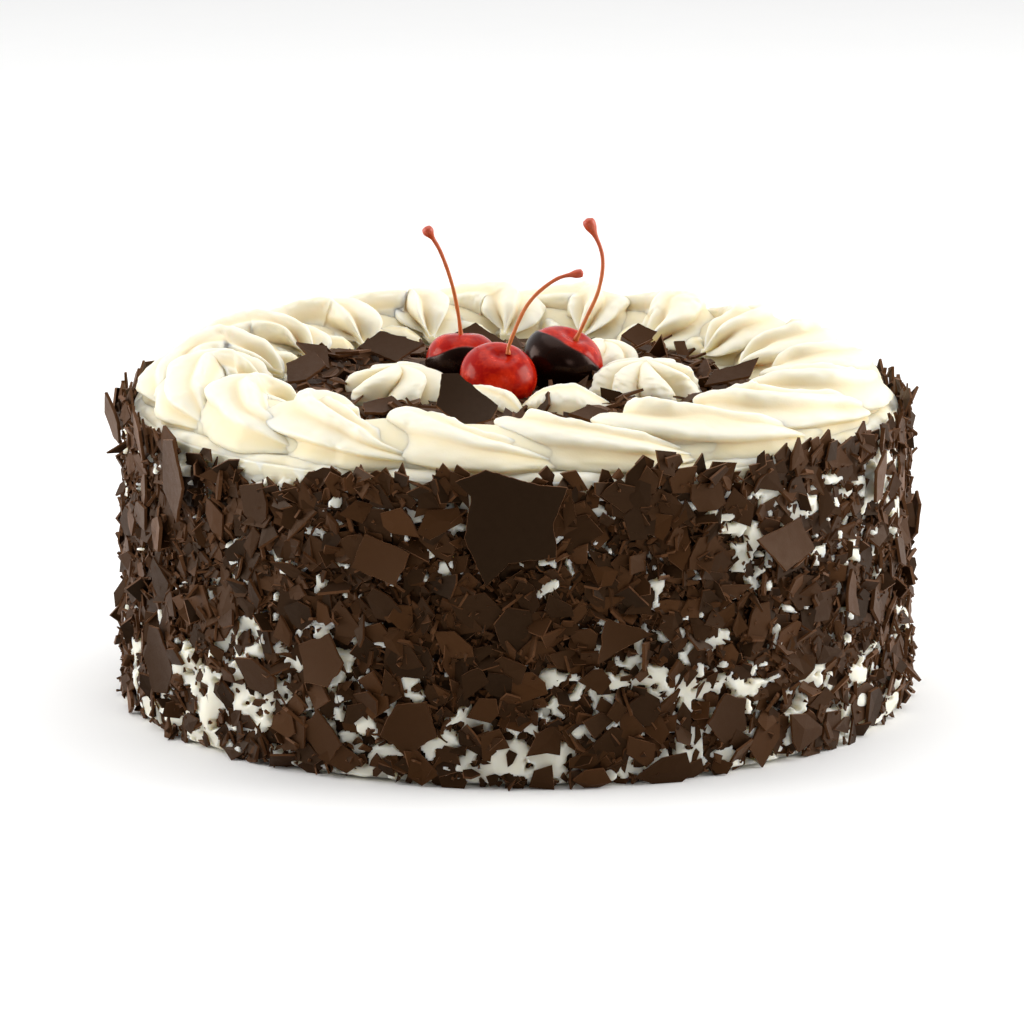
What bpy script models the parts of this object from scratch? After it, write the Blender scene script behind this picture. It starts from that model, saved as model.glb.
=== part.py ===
"""Black forest cake: a cream-covered round cake with a coat of chocolate flakes, a border of
piped cream shells, four cream rosettes and three dipped cherries on a bed of shavings.

Metres, +Z up. The origin is the centre of the flat base, and the front of the cake faces -Y.
An azimuth is measured from the front, counter-clockwise seen from above.
"""

import math
import random

import bmesh
import bpy
import numpy as np
from mathutils import Matrix, Vector

MM = 0.001
GAP = 0.3 * MM  # air left between pieces that touch

# The cream-covered cake.
CAKE_RADIUS = 106.5 * MM
CAKE_HEIGHT = 84.0 * MM
FOOT_FLARE = 1.0 * MM
EDGE_ROUND = 3.0 * MM
EDGE_STEPS = 3
CAKE_SIDES = 58

# The coat of flakes around the side.
COAT_RADIUS = 110.0 * MM
COAT_RELIEF = 1.5 * MM
COAT_FOOT = 0.8 * MM
COAT_TOP = 80.0 * MM
COAT_TOP_RAGGED = 2.5 * MM
COAT_SIDES = 58
COAT_ROWS = 8

# The piped border: each shell is one curled stroke of a star nozzle, drawn counter-clockwise
# from its inner end, round the curl and out to a thin tail that the next shell covers.
SHELLS = 18
BORDER_RADIUS = 88.0 * MM
FIRST_SHELL_DEG = -11.7
PITCH_SWAY_DEG = 5.0  # the front shells are drawn longer than the back ones
STROKE = (  # forward, outward, height of the middle and half the width, in mm
    (8, -10.5, 2.4, 2.6),
    (1, -15.5, 3.4, 5.0),
    (-8, -15.5, 4.6, 6.8),
    (-14.5, -6, 5.2, 8.4),
    (-6, 4, 5.2, 9.0),
    (5, 9, 3.6, 8.4),
    (17, 11.5, 2.2, 6.8),
    (28, 13, 1.0, 4.0),
)
STROKE_STATIONS = 9

# The section of a stroke: flat below, with the nozzle's ridges and grooves over the top.
RIDGE_SPOKES = 9
SPOKES_FROM_DEG = -25
GROOVE = 0.79  # a groove's distance from the middle, as a share of a ridge's
FOOT_SHARE = 0.8
CUT_SWELL = 0.4 * MM  # how much wider than its stroke a cutter is

# Two short strokes in the middle: name and rows of x, y, height and half width (mm).
PETALS = (
    (
        "front",
        ((2, -34, 1.6, 2.4), (9, -35, 3.6, 6.2), (17, -35.5, 4.2, 7.0), (27, -34.5, 2.8, 4.8)),
    ),
    (
        "middle",
        ((-14, -27, 2.8, 1.4), (-9, -30, 2.8, 3.0), (-4, -34, 2.2, 3.6), (1, -39.5, 1.4, 2.4)),
    ),
)

# Rosettes: name, x, y, radius, height (mm), lobes, sharpness of the lobes, turn (degrees).
ROSETTES = (
    ("left", -32.5, -21.0, 14.0, 13.2, 6, 0.13, 10),
    ("right", 36.0, -15.0, 14.4, 12.4, 8, 0.12, 0),
    ("back", 25.0, 25.0, 10.5, 10.0, 6, 0.08, 15),
)

# Cherries: name, x, y, radius, height (mm), lean of the stalk hollow and its heading (degrees).
CHERRIES = (
    ("middle", -5.0, -14.5, 10.7, 18.0, 16, 35),
    ("left", -15.2, 5.6, 10.1, 17.2, 6, 180),
    ("right", 13.2, 0.6, 11.3, 18.6, 24, 60),
)
CHERRY_DIMPLE = 2.2 * MM
CHERRY_SIDES = 16
CHERRY_ROWS = 9

# Stalks: the far end, relative to the hollow, and how far the middle bows out (mm).
STALKS = {
    "middle": ((20.5, 2.0, 20.0), (-3.5, 0.0, 5.0), 1.0),
    "left": ((-8.5, -3.0, 31.5), (1.2, 0.0, -1.0), 1.35),
    "right": ((2.2, -2.0, 33.0), (4.6, 0.0, 1.5), 1.5),
}
STALK_RADIUS = 0.62 * MM
STALK_KNOB_RADIUS = 1.15 * MM
STALK_POINTS = 11

# The bed of shavings inside the border.
BED_RADIUS = 64.0 * MM
BED_HEIGHT = 2.6 * MM
BED_RELIEF = 1.5 * MM
BED_SIDES = 28
BED_ROWS = 4
SOCKET_SIDES = 12
ROSETTE_ROOM = 0.6 * MM  # how much wider still a socket is round the lobes of a rosette

PLATE_THICKNESS = 1.2 * MM

# Large shards round the side: name, azimuth (degrees), height of the middle, width and
# tallness (mm), corners, spin, lean and yaw (degrees).
SIDE_SHARDS = (
    ("front_right", 39.5, 61.5, 23, 17, 4, -22, -14, 6),
    ("left_leaf", -55.0, 74.5, 15, 24, 5, -8, 5, -12),
    ("left_tip", -67.0, 80.0, 12, 16, 4, 10, 8, -10),
    ("left_star", -84.0, 79.0, 13, 15, 5, 20, 12, 12),
    ("left_low", -60.5, 20.5, 13, 21, 6, 5, 4, 10),
    ("front_left", -18.5, 61.0, 17, 17, 4, 30, -4, -6),
    ("mid_right", 14.0, 40.0, 19, 13, 3, 8, -8, 5),
    ("low_left", -14.5, 16.0, 16, 17, 5, -20, 3, 4),
    ("foot_left", -28.0, 11.0, 13, 15, 4, 4, 6, -6),
    ("mid_left", -27.5, 32.0, 17, 14, 5, 15, -6, -8),
    ("low_right", 30.5, 16.0, 14, 15, 5, 40, 6, 6),
    ("far_right", 54.0, 42.0, 12, 15, 4, 20, -5, 14),
    ("rim_right", 61.5, 72.0, 12, 18, 5, 6, 5, 12),
    ("edge_right", 83.0, 51.0, 12, 15, 5, 0, 6, 14),
    ("back_one", 112.0, 66.0, 19, 17, 5, 25, 6, -5),
    ("back_two", 146.0, 30.0, 17, 19, 4, -15, -6, 6),
    ("back_three", 178.0, 68.0, 22, 18, 5, 10, -8, 3),
    ("back_four", 212.0, 38.0, 18, 15, 4, 40, 5, -8),
    ("back_five", 246.0, 64.0, 17, 19, 5, -30, 6, 8),
)
# The broad plate at the front has its own outline: right and up from its middle (mm).
FRONT_PLATE_HEIGHT = 70.5 * MM
FRONT_PLATE_OUTLINE = (
    (-8, -15.5),
    (-2, -9.5),
    (10.5, -7.5),
    (10, 2),
    (13.5, 11.5),
    (3, 12.5),
    (-8, 16),
    (-16, 13),
    (-12, 9),
    (-13.5, -2),
)

# Shards standing on the bed: name, x, y, width, tallness (mm), corners, spin, heading and
# pitch (degrees). Heading 0 faces the front, pitch 90 lies flat.
TOP_SHARDS = (
    ("window", -13.5, -60.0, 17, 18, 6, 0, 0, 48),
    ("front_sliver", 19.5, -58.0, 12, 8, 4, 0, 15, 66),
    ("left_front", -36.5, -47.0, 13, 9, 5, 10, -10, 72),
    ("left_flat", -59.0, -2.0, 13, 17, 5, 30, -30, 66),
    ("left_back", -36.0, 26.0, 20, 13, 4, 12, -10, 58),
    ("behind_left", -12.0, 36.0, 17, 12, 4, 0, 10, 50),
    ("right_back", 35.5, 41.0, 11, 10, 4, 4, 8, 48),
    ("right_point", 60.0, -8.0, 21, 8, 4, 34, 10, 60),
)

# The window's own corners: a long slope falls to the right from its top.
WINDOW_OUTLINE = ((-6.7, 8.3), (-2.2, 8.9), (8.9, -1.9), (7.0, -7.0), (0.3, -8.6), (-8.3, -1.6))

COLOURS = {
    "cream": ((0.93, 0.88, 0.74), 0.5),
    "chocolate": ((0.055, 0.024, 0.013), 0.45),
    "cherry": ((0.45, 0.012, 0.010), 0.12),
    "stalk": ((0.50, 0.10, 0.03), 0.4),
}


def clear_scene():
    """Removes every object of the file that this runs in."""
    for obj in list(bpy.data.objects):
        bpy.data.objects.remove(obj)


def make_materials():
    """One Principled material for each colour of the cake."""
    made = {}
    for name, (colour, roughness) in COLOURS.items():
        material = bpy.data.materials.new(name)
        material.use_nodes = True
        shader = material.node_tree.nodes["Principled BSDF"]
        shader.inputs["Base Color"].default_value = (*colour, 1)
        shader.inputs["Roughness"].default_value = roughness
        shader.inputs["Metallic"].default_value = 0.0
        made[name] = material
    return made


def add_object(name, bm, material, smooth_deg=None):
    """Puts a bmesh into the scene as one named object, with its faces pointing out."""
    bmesh.ops.recalc_face_normals(bm, faces=bm.faces)
    mesh = bpy.data.meshes.new(name)
    bm.to_mesh(mesh)
    bm.free()
    if smooth_deg is not None:
        mesh.shade_smooth()
        mesh.set_sharp_from_angle(angle=math.radians(smooth_deg))
    obj = bpy.data.objects.new(name, mesh)
    obj.data.materials.append(material)
    bpy.context.scene.collection.objects.link(obj)
    return obj


def loft(bm, loops, closed=False):
    """Joins loops of points by quads. An open loft gets a cap at each end, a closed one none."""
    rows = [[bm.verts.new(point) for point in loop] for loop in loops]
    pairs = list(zip(rows, rows[1:]))
    if closed:
        pairs.append((rows[-1], rows[0]))
    for below, above in pairs:
        for i, here in enumerate(below):
            j = (i + 1) % len(below)
            bm.faces.new((here, below[j], above[j], above[i]))
    if not closed:
        bm.faces.new(rows[0])
        bm.faces.new(rows[-1])


def around(azimuth, radius, z):
    """The point at that azimuth (radians from the front), radius and height."""
    return Vector((radius * math.sin(azimuth), -radius * math.cos(azimuth), z))


# ---------------------------------------------------------------- cake and coat


def cake_radius_at(z):
    """The side of the cake: it flares a little towards its foot."""
    return CAKE_RADIUS + FOOT_FLARE * (1 - z / CAKE_HEIGHT) ** 2


def make_cake(material):
    """The cream-covered cake: a turned drum with a flat base and a rounded upper edge."""
    profile = [(cake_radius_at(0) - MM, 0.0), (cake_radius_at(0), MM)]
    profile.append((cake_radius_at(CAKE_HEIGHT / 2), CAKE_HEIGHT / 2))
    for step in range(EDGE_STEPS + 1):
        turn = math.radians(90 * step / EDGE_STEPS)
        inset = EDGE_ROUND * (1 - math.cos(turn))
        profile.append(
            (cake_radius_at(CAKE_HEIGHT) - inset, CAKE_HEIGHT - EDGE_ROUND * (1 - math.sin(turn)))
        )
    bm = bmesh.new()
    loft(
        bm,
        [
            [around(math.tau * i / CAKE_SIDES, radius, z) for i in range(CAKE_SIDES)]
            for radius, z in profile
        ],
    )
    return add_object("cake_body", bm, material, smooth_deg=35)


def make_coat(material, shard_spots):
    """The coat of flakes as one rough ring round the cake. It is at its full radius wherever
    a large shard rests on it, and up to the relief lower elsewhere."""
    rng = random.Random(11)
    bm = bmesh.new()
    sections = []
    for i in range(COAT_SIDES):
        azimuth = math.tau * i / COAT_SIDES
        top = COAT_TOP + COAT_TOP_RAGGED * rng.uniform(-1, 1)
        heights = [COAT_FOOT + (top - COAT_FOOT) * k / (COAT_ROWS - 1) for k in range(COAT_ROWS)]
        outer = []
        for k, z in enumerate(heights):
            radius = COAT_RADIUS - COAT_RELIEF * rng.random()
            lift = 0.0 if k in (0, COAT_ROWS - 1) else rng.uniform(-2, 2) * MM
            if any(on_spot(azimuth, z, *spot) for spot in shard_spots):
                radius = COAT_RADIUS
            outer.append(around(azimuth, radius, z + lift))
        inner = [around(azimuth, cake_radius_at(z) + GAP, z) for z in (heights[-1], heights[0])]
        sections.append(outer + inner)
    loft(bm, sections, closed=True)
    return add_object("flake_coat", bm, material)


def on_spot(azimuth, z, spot_azimuth, spot_z, reach):
    """Whether a place on the coat lies within reach of a shard's middle."""
    turn = (azimuth - spot_azimuth + math.pi) % math.tau - math.pi
    return math.hypot(turn * COAT_RADIUS, z - spot_z) < reach


# ---------------------------------------------------------------- piped cream


def smooth_path(points, steps):
    """A Catmull-Rom curve through rows of numbers, sampled in even steps of its parameter."""
    rows = np.array(points, float)
    rows = np.vstack([2 * rows[0] - rows[1], rows, 2 * rows[-1] - rows[-2]])
    at = np.linspace(0, len(points) - 1 - 1e-9, steps)
    first = at.astype(int)
    t = (at - first)[:, None]
    a, b, c, d = (rows[first + k] for k in range(4))
    return 0.5 * (
        2 * b + (c - a) * t + (2 * a - 5 * b + 4 * c - d) * t**2 + (3 * b - a - 3 * c + d) * t**3
    )


def bead(rows, swell=0.0):
    """A stroke of the star nozzle lying on the cake, as a bmesh. A row holds x, y, the height
    of the middle over the cake and half the width. Swell widens it, for a cutter."""
    along = np.gradient(rows[:, :2], axis=0)
    along /= np.linalg.norm(along, axis=1)[:, None]
    base = CAKE_HEIGHT + GAP - swell
    loops = []
    for (x, y, middle, width), (forward_x, forward_y) in zip(rows, along):
        half = width + swell
        section = [(half * FOOT_SHARE, 0.0)]
        for k in range(RIDGE_SPOKES):
            turn = SPOKES_FROM_DEG + (180 - 2 * SPOKES_FROM_DEG) * k / (RIDGE_SPOKES - 1)
            reach = half * (GROOVE if k % 2 else 1)
            rise = middle + swell + reach * math.sin(math.radians(turn))
            section.append((reach * math.cos(math.radians(turn)), max(rise, 0.0)))
        section.append((-half * FOOT_SHARE, 0.0))
        loops.append([(x + u * forward_y, y - u * forward_x, base + v) for u, v in section])
    bm = bmesh.new()
    loft(bm, loops)
    return bm


def shell_azimuth(index):
    """Where a shell's stroke starts: evenly round the border, with a slow sway of the pitch."""
    even = math.radians(FIRST_SHELL_DEG) + math.tau * index / SHELLS
    return even + math.radians(PITCH_SWAY_DEG) * math.sin(even)


def shell_rows(index):
    """One shell's stroke, carried from the border's own directions to the cake's frame."""
    size = random.Random(100 + index).uniform(0.95, 1.04)
    rows = smooth_path(STROKE, STROKE_STATIONS) * MM
    azimuth = shell_azimuth(index) + rows[:, 0] * size / BORDER_RADIUS
    radius = BORDER_RADIUS + rows[:, 1]
    return np.column_stack(
        [radius * np.sin(azimuth), -radius * np.cos(azimuth), rows[:, 2] * size, rows[:, 3] * size]
    )


def make_shells(material):
    """The border. Each shell is cut to lie under the next one, a hair's breadth from it."""
    strokes = [shell_rows(index) for index in range(SHELLS)]
    cutters = [
        hide(add_object(f"cutter_shell_{index + 1:02d}", bead(rows, CUT_SWELL), material))
        for index, rows in enumerate(strokes)
    ]
    for index, rows in enumerate(strokes):
        shell = add_object(f"cream_shell_{index + 1:02d}", bead(rows), material, 50)
        cut_by(shell, cutters[(index + 1) % SHELLS])


def hide(cutter):
    """Marks an object as a cutter, which is not a piece of the cake."""
    cutter.hide_render = True
    cutter.display_type = "WIRE"
    return cutter


def cut_by(obj, cutter):
    """Takes a cutter's shape out of an object."""
    cut = obj.modifiers.new(f"less_{cutter.name}", "BOOLEAN")
    cut.operation = "DIFFERENCE"
    cut.object = cutter


def make_petal(name, rows, material):
    """A short stroke of the nozzle beside the cherries. Returns a cutter that clears it."""
    sampled = smooth_path(rows, 2 * len(rows) - 1) * MM
    add_object(f"petal_{name}", bead(sampled), material, 50)
    return hide(add_object(f"cutter_petal_{name}", bead(sampled, CUT_SWELL), material))


def make_rosette(name, x, y, radius, height, lobes, sharpness, turn, material):
    """A dollop from a star nozzle: lobed in plan, leaning into a twist as it rises."""
    rows, sides = 6, lobes * 4
    base = CAKE_HEIGHT + GAP
    loops = []
    for row in range(rows):
        rise = row / (rows - 1)
        swell = math.sqrt(1 - (0.93 * rise) ** 2.6)
        twist = math.radians(turn + 26 * rise)
        loop = []
        for i in range(sides):
            angle = math.tau * i / sides
            lobe = 1 + sharpness * math.cos(lobes * angle) - sharpness
            reach = radius * MM * swell * lobe
            loop.append(
                (
                    x * MM + reach * math.cos(angle + twist),
                    y * MM + reach * math.sin(angle + twist),
                    base + height * MM * rise,
                )
            )
        loops.append(loop)
    bm = bmesh.new()
    loft(bm, loops)
    return add_object(f"rosette_{name}", bm, material, smooth_deg=40)


# ---------------------------------------------------------------- cherries


def cherry_frame(x, y, radius, height, lean, heading):
    """The cherry's middle and its axis, leaning towards a heading counted from the front."""
    middle = Vector((x * MM, y * MM, CAKE_HEIGHT + GAP + height * MM / 2))
    tilt = math.radians(lean)
    flat = around(math.radians(heading), math.sin(tilt), 0)
    return middle, Vector((flat.x, flat.y, math.cos(tilt)))


def cherry_point(place, radius, half, polar, angle):
    """A point of a cherry: an ellipsoid, with a hollow round its axis where the stalk grows."""
    middle, axis = place
    side = axis.orthogonal().normalized()
    other = axis.cross(side)
    reach = radius * math.sin(polar)
    sunk = CHERRY_DIMPLE * math.exp(-((reach / (0.3 * radius)) ** 2)) if polar < math.pi / 2 else 0
    rise = half * math.cos(polar) - sunk
    return middle + side * (reach * math.cos(angle)) + other * (reach * math.sin(angle)) + axis * rise


def make_cherry(name, x, y, radius, height, lean, heading, material):
    """A cherry: a squat ellipsoid with the stalk's hollow, kept clear of the cake's top."""
    place = cherry_frame(x, y, radius, height, lean, heading)
    lowest = CAKE_HEIGHT + GAP
    loops = []
    for row in range(CHERRY_ROWS + 1):
        polar = math.radians(4 + 172 * row / CHERRY_ROWS)
        loop = []
        for i in range(CHERRY_SIDES):
            point = cherry_point(
                place, radius * MM, height * MM / 2, polar, math.tau * i / CHERRY_SIDES
            )
            point.z = max(point.z, lowest + 0.02 * MM * row)
            loop.append(point)
        loops.append(loop)
    bm = bmesh.new()
    loft(bm, loops)
    return add_object(f"cherry_{name}", bm, material, smooth_deg=60)


def stalk_points(name, place, height):
    """A stalk's middle line: from just over the hollow, bowing to its far end."""
    reach, bow, _ = STALKS[name]
    middle, axis = place
    start = middle + axis * (height * MM / 2 - CHERRY_DIMPLE + 2 * GAP)
    points = []
    for step in range(STALK_POINTS):
        share = step / (STALK_POINTS - 1)
        swing = math.sin(math.pi * share)
        points.append(start + Vector(reach) * MM * share + Vector(bow) * MM * swing)
    return points


def make_stalk(name, place, height, material):
    """A stalk as a bevelled curve, thin in its middle, with a knob at the far end."""
    knob = STALKS[name][2]
    curve = bpy.data.curves.new(f"stalk_{name}", "CURVE")
    curve.dimensions = "3D"
    curve.bevel_depth = STALK_RADIUS
    curve.bevel_resolution = 1
    curve.use_fill_caps = True
    curve.resolution_u = 1
    points = stalk_points(name, place, height)
    line = curve.splines.new("POLY")
    line.points.add(len(points) - 1)
    for step, (node, point) in enumerate(zip(line.points, points)):
        share = step / (len(points) - 1)
        node.co = (*point, 1)
        flare = math.exp(-(((1 - share) / 0.09) ** 2)) * (STALK_KNOB_RADIUS / STALK_RADIUS - 1)
        node.radius = 1 + knob * flare + 0.35 * math.exp(-((share / 0.07) ** 2))
    obj = bpy.data.objects.new(f"stalk_{name}", curve)
    obj.data.materials.append(material)
    bpy.context.scene.collection.objects.link(obj)
    return obj


# ---------------------------------------------------------------- chocolate


def shard_outline(width, tall, corners, seed):
    """A broken plate's outline: corners round an ellipse, each moved a little at random."""
    rng = random.Random(seed)
    outline = []
    for k in range(corners):
        angle = math.tau * (k + rng.uniform(-0.22, 0.22)) / corners
        reach = rng.uniform(0.88, 1.12)
        outline.append(
            (width / 2 * reach * math.cos(angle), tall / 2 * reach * math.sin(angle))
        )
    return outline


def plate(name, outline, placing, material):
    """A flat plate of chocolate: the outline (mm) given a thickness and put in its place."""
    bm = bmesh.new()
    half = PLATE_THICKNESS / 2
    loft(bm, [[Vector((u * MM, v * MM, w)) for u, v in outline] for w in (-half, half)])
    bmesh.ops.transform(bm, matrix=placing, verts=bm.verts)
    return add_object(name, bm, material)


def side_placing(outline, azimuth, z, spin, lean, yaw):
    """The matrix that rests an outline against the coat: local x is forward round the cake,
    local y is up and local z is outward, after the spin, lean and yaw."""
    turned = (
        Matrix.Rotation(azimuth, 4, "Z")
        @ Matrix.Rotation(math.radians(90), 4, "X")
        @ Matrix.Rotation(math.radians(yaw), 4, "Y")
        @ Matrix.Rotation(math.radians(lean), 4, "X")
        @ Matrix.Rotation(math.radians(spin), 4, "Z")
    )
    outward = around(azimuth, 1, 0)
    inner = -PLATE_THICKNESS / 2
    nearest = min(
        (turned @ Vector((u * share * MM, v * share * MM, inner))).dot(outward)
        for u, v in dense(outline)
        for share in (0, 0.5, 1)
    )
    # A plate touches the round coat first near its nearest line, so that line clears it.
    standoff = COAT_RADIUS + GAP - nearest
    return Matrix.Translation(outward * standoff + Vector((0, 0, z))) @ turned


def dense(outline):
    """The outline's corners with points in between."""
    following = outline[1:] + outline[:1]
    return [
        (a[0] + (b[0] - a[0]) * k / 4, a[1] + (b[1] - a[1]) * k / 4)
        for a, b in zip(outline, following)
        for k in range(4)
    ]


def make_side_shards(material):
    """The large shards that rest on the coat, and where each of them touches it."""
    spots = []
    front = list(FRONT_PLATE_OUTLINE)
    plate("shard_front_plate", front, side_placing(front, 0.0, FRONT_PLATE_HEIGHT, 0, 0, 0), material)
    spots.append((0.0, FRONT_PLATE_HEIGHT, 20 * MM))
    for seed, (name, turn, z, width, tall, corners, spin, lean, yaw) in enumerate(SIDE_SHARDS):
        azimuth = math.radians(turn)
        outline = shard_outline(width, tall, corners, 300 + seed)
        placing = side_placing(outline, azimuth, z * MM, spin, lean, yaw)
        plate(f"shard_{name}", outline, placing, material)
        spots.append((azimuth, z * MM, max(width, tall) * MM * 0.6))
    return spots


def make_top_shards(material):
    """The shards that stand or lean among the shavings on top."""
    for seed, row in enumerate(TOP_SHARDS):
        name, x, y, width, tall, corners, spin, heading, pitch = row
        outline = shard_outline(width, tall, corners, 500 + seed)
        if name == "window":
            outline = WINDOW_OUTLINE
        turned = (
            Matrix.Rotation(math.radians(heading), 4, "Z")
            @ Matrix.Rotation(math.radians(90 - pitch), 4, "X")
            @ Matrix.Rotation(math.radians(spin), 4, "Z")
        )
        below = -PLATE_THICKNESS / 2
        lowest = min((turned @ Vector((u * MM, v * MM, below))).z for u, v in outline)
        lift = CAKE_HEIGHT + BED_HEIGHT + BED_RELIEF / 2 + 2 * GAP - lowest
        placing = Matrix.Translation((x * MM, y * MM, lift)) @ turned
        plate(f"topping_{name}", outline, placing, material)


def make_bed(material, cutters):
    """The bed of shavings: a rough disc, with clear sockets for what stands in it."""
    rng = random.Random(31)
    base = CAKE_HEIGHT + GAP
    bm = bmesh.new()
    foot = [around(math.tau * i / BED_SIDES, BED_RADIUS, base) for i in range(BED_SIDES)]
    loops = [foot]
    for row in range(BED_ROWS):
        share = 1 - row / BED_ROWS
        loop = []
        for i in range(BED_SIDES):
            azimuth = math.tau * (i + (row % 2) / 2) / BED_SIDES
            height = (BED_HEIGHT if row else 0.8 * MM) + BED_RELIEF * rng.uniform(-0.5, 0.5)
            loop.append(around(azimuth, BED_RADIUS * share, base + max(height, 0.5 * MM)))
        loops.append(loop)
    loft(bm, loops)
    bed = add_object("shavings_bed", bm, material)
    for cutter in cutters:
        cut_by(bed, cutter)
    return bed


def make_socket(name, x, y, radius):
    """A hidden round cutter that clears a socket through the bed."""
    bm = bmesh.new()
    low, high = CAKE_HEIGHT - 5 * MM, CAKE_HEIGHT + 15 * MM
    loft(
        bm,
        [
            [
                (x * MM + radius * math.cos(a), y * MM + radius * math.sin(a), z)
                for a in (math.tau * i / SOCKET_SIDES for i in range(SOCKET_SIDES))
            ]
            for z in (low, high)
        ],
    )
    return hide(add_object(f"cutter_{name}", bm, bpy.data.materials["chocolate"]))


def main():
    """Builds the whole cake."""
    clear_scene()
    paint = make_materials()
    make_cake(paint["cream"])
    spots = make_side_shards(paint["chocolate"])
    make_coat(paint["chocolate"], spots)
    make_shells(paint["cream"])
    cutters = [make_petal(name, rows, paint["cream"]) for name, rows in PETALS]
    for rosette in ROSETTES:
        make_rosette(*rosette, paint["cream"])
        name, x, y, radius = rosette[:4]
        room = CUT_SWELL + ROSETTE_ROOM
        cutters.append(make_socket(f"rosette_{name}", x, y, radius * MM + room))
    for name, x, y, radius, height, lean, heading in CHERRIES:
        make_cherry(name, x, y, radius, height, lean, heading, paint["cherry"])
        place = cherry_frame(x, y, radius, height, lean, heading)
        make_stalk(name, place, height, paint["stalk"])
        cutters.append(make_socket(f"cherry_{name}", x, y, radius * MM + CUT_SWELL))
    make_bed(paint["chocolate"], cutters)
    make_top_shards(paint["chocolate"])


main()
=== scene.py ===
"""Looks of a black forest cake: whipped cream, dark chocolate flakes, cherries and a piped border.

Metres, +Z up; the front of the cake faces -Y. An azimuth is counted from the front,
counter-clockwise seen from above. Every surface is worked out with numpy as whole arrays.
"""

import logging
import math
from dataclasses import dataclass, field
from enum import Enum

import bpy
import numpy as np
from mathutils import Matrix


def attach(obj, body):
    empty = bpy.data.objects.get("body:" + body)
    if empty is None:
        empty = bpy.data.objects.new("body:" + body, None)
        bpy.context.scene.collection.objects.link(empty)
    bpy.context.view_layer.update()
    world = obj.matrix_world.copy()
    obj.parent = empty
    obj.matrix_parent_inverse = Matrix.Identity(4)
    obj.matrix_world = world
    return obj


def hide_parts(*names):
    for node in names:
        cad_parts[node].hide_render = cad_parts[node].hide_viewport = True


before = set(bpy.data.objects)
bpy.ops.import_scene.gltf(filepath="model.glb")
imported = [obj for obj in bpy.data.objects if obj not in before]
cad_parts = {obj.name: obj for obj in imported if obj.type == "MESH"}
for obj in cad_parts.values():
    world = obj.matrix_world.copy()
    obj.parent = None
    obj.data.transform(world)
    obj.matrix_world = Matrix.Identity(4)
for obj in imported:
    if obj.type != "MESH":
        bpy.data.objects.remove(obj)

LOG = logging.getLogger("cake")
MM = 0.001
TURN = 2 * math.pi
BODY = "root"
CAKE_TOP = 84.0 * MM
SIDE_RADIUS = 106.8 * MM
SIDE_FLARE = 1.5 * MM
PRESSED_FLAT = 0.8 * MM
ALL_SMOOTH = 180
PIPED_SMOOTH = 80
Colour = tuple[float, float, float]
Span = tuple[float, float]


class Slot(Enum):
    """The finishes that the record names."""

    CREAM = "whipped_cream"
    CHOCOLATE = "dark_chocolate"
    CHERRY = "cherry_skin"
    STALK = "cherry_stalk"


# ------------------------------------------------------------------ shapes and noise


def cell_value(cells: np.ndarray, seed: int) -> np.ndarray:
    """A fixed random number for each lattice cell.

    Args:
        cells: whole numbers, with x, y and z last.
        seed: picks one of many fields.

    Returns:
        One number from -1 to 1 a cell.
    """
    x, y, z = (cells[..., k].astype(np.int64).astype(np.uint64) for k in range(3))
    mixed = x * np.uint64(374761393) + y * np.uint64(668265263) + z * np.uint64(1274126177)
    mixed = (mixed + np.uint64(seed * 974634777)) & np.uint64(0xFFFFFFFF)
    mixed = ((mixed ^ (mixed >> np.uint64(13))) * np.uint64(1103515245)) & np.uint64(0xFFFFFFFF)
    mixed = ((mixed ^ (mixed >> np.uint64(16))) * np.uint64(69069)) & np.uint64(0xFFFFFFFF)
    return (mixed ^ (mixed >> np.uint64(15))).astype(float) / 2**31 - 1


def noise(points: np.ndarray, size: float, seed: int) -> np.ndarray:
    """Smooth noise: random lattice values blended by the cubic 3t^2 - 2t^3 along each axis.

    Args:
        points: places, with x, y and z last.
        size: the lattice's spacing, in the points' unit.
        seed: picks one of many fields.

    Returns:
        One number from -1 to 1 a point.
    """
    at = points / size
    low = np.floor(at)
    t = at - low
    t = t * t * (3 - 2 * t)
    total = np.zeros(points.shape[:-1])
    for corner in np.ndindex(2, 2, 2):
        step = np.array(corner)
        weight = np.prod(np.where(step == 1, t, 1 - t), axis=-1)
        total += weight * cell_value(low + step, seed)
    return total


def layered(points: np.ndarray, size: float, octaves: int, seed: int) -> np.ndarray:
    """Noise summed over octaves, each half as large and half as strong as the one before.

    Args:
        points: places, with x, y and z last.
        size: the spacing of the coarsest octave.
        octaves: how many are summed.
        seed: picks one of many fields.

    Returns:
        One number a point, mostly from -1 to 1.
    """
    return sum(noise(points, size / 2**k, seed + k) / 2**k for k in range(octaves))


def around(azimuth: np.ndarray, radius: np.ndarray, height: np.ndarray) -> np.ndarray:
    """Points at those azimuths, radii and heights: x = r sin a, y = -r cos a.

    Args:
        azimuth: radians from the front, counter-clockwise.
        radius: distances from the cake's axis.
        height: heights over the base.

    Returns:
        Points, with x, y and z last.
    """
    azimuth, radius, height = np.broadcast_arrays(azimuth, radius, height)
    return np.stack([radius * np.sin(azimuth), -radius * np.cos(azimuth), height], axis=-1)


def side_radius(radius: float, height: np.ndarray) -> np.ndarray:
    """The radius of an upright side that widens towards its foot: r + flare (1 - z / top)^2."""
    return radius + SIDE_FLARE * (1 - height / CAKE_TOP) ** 2


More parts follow.
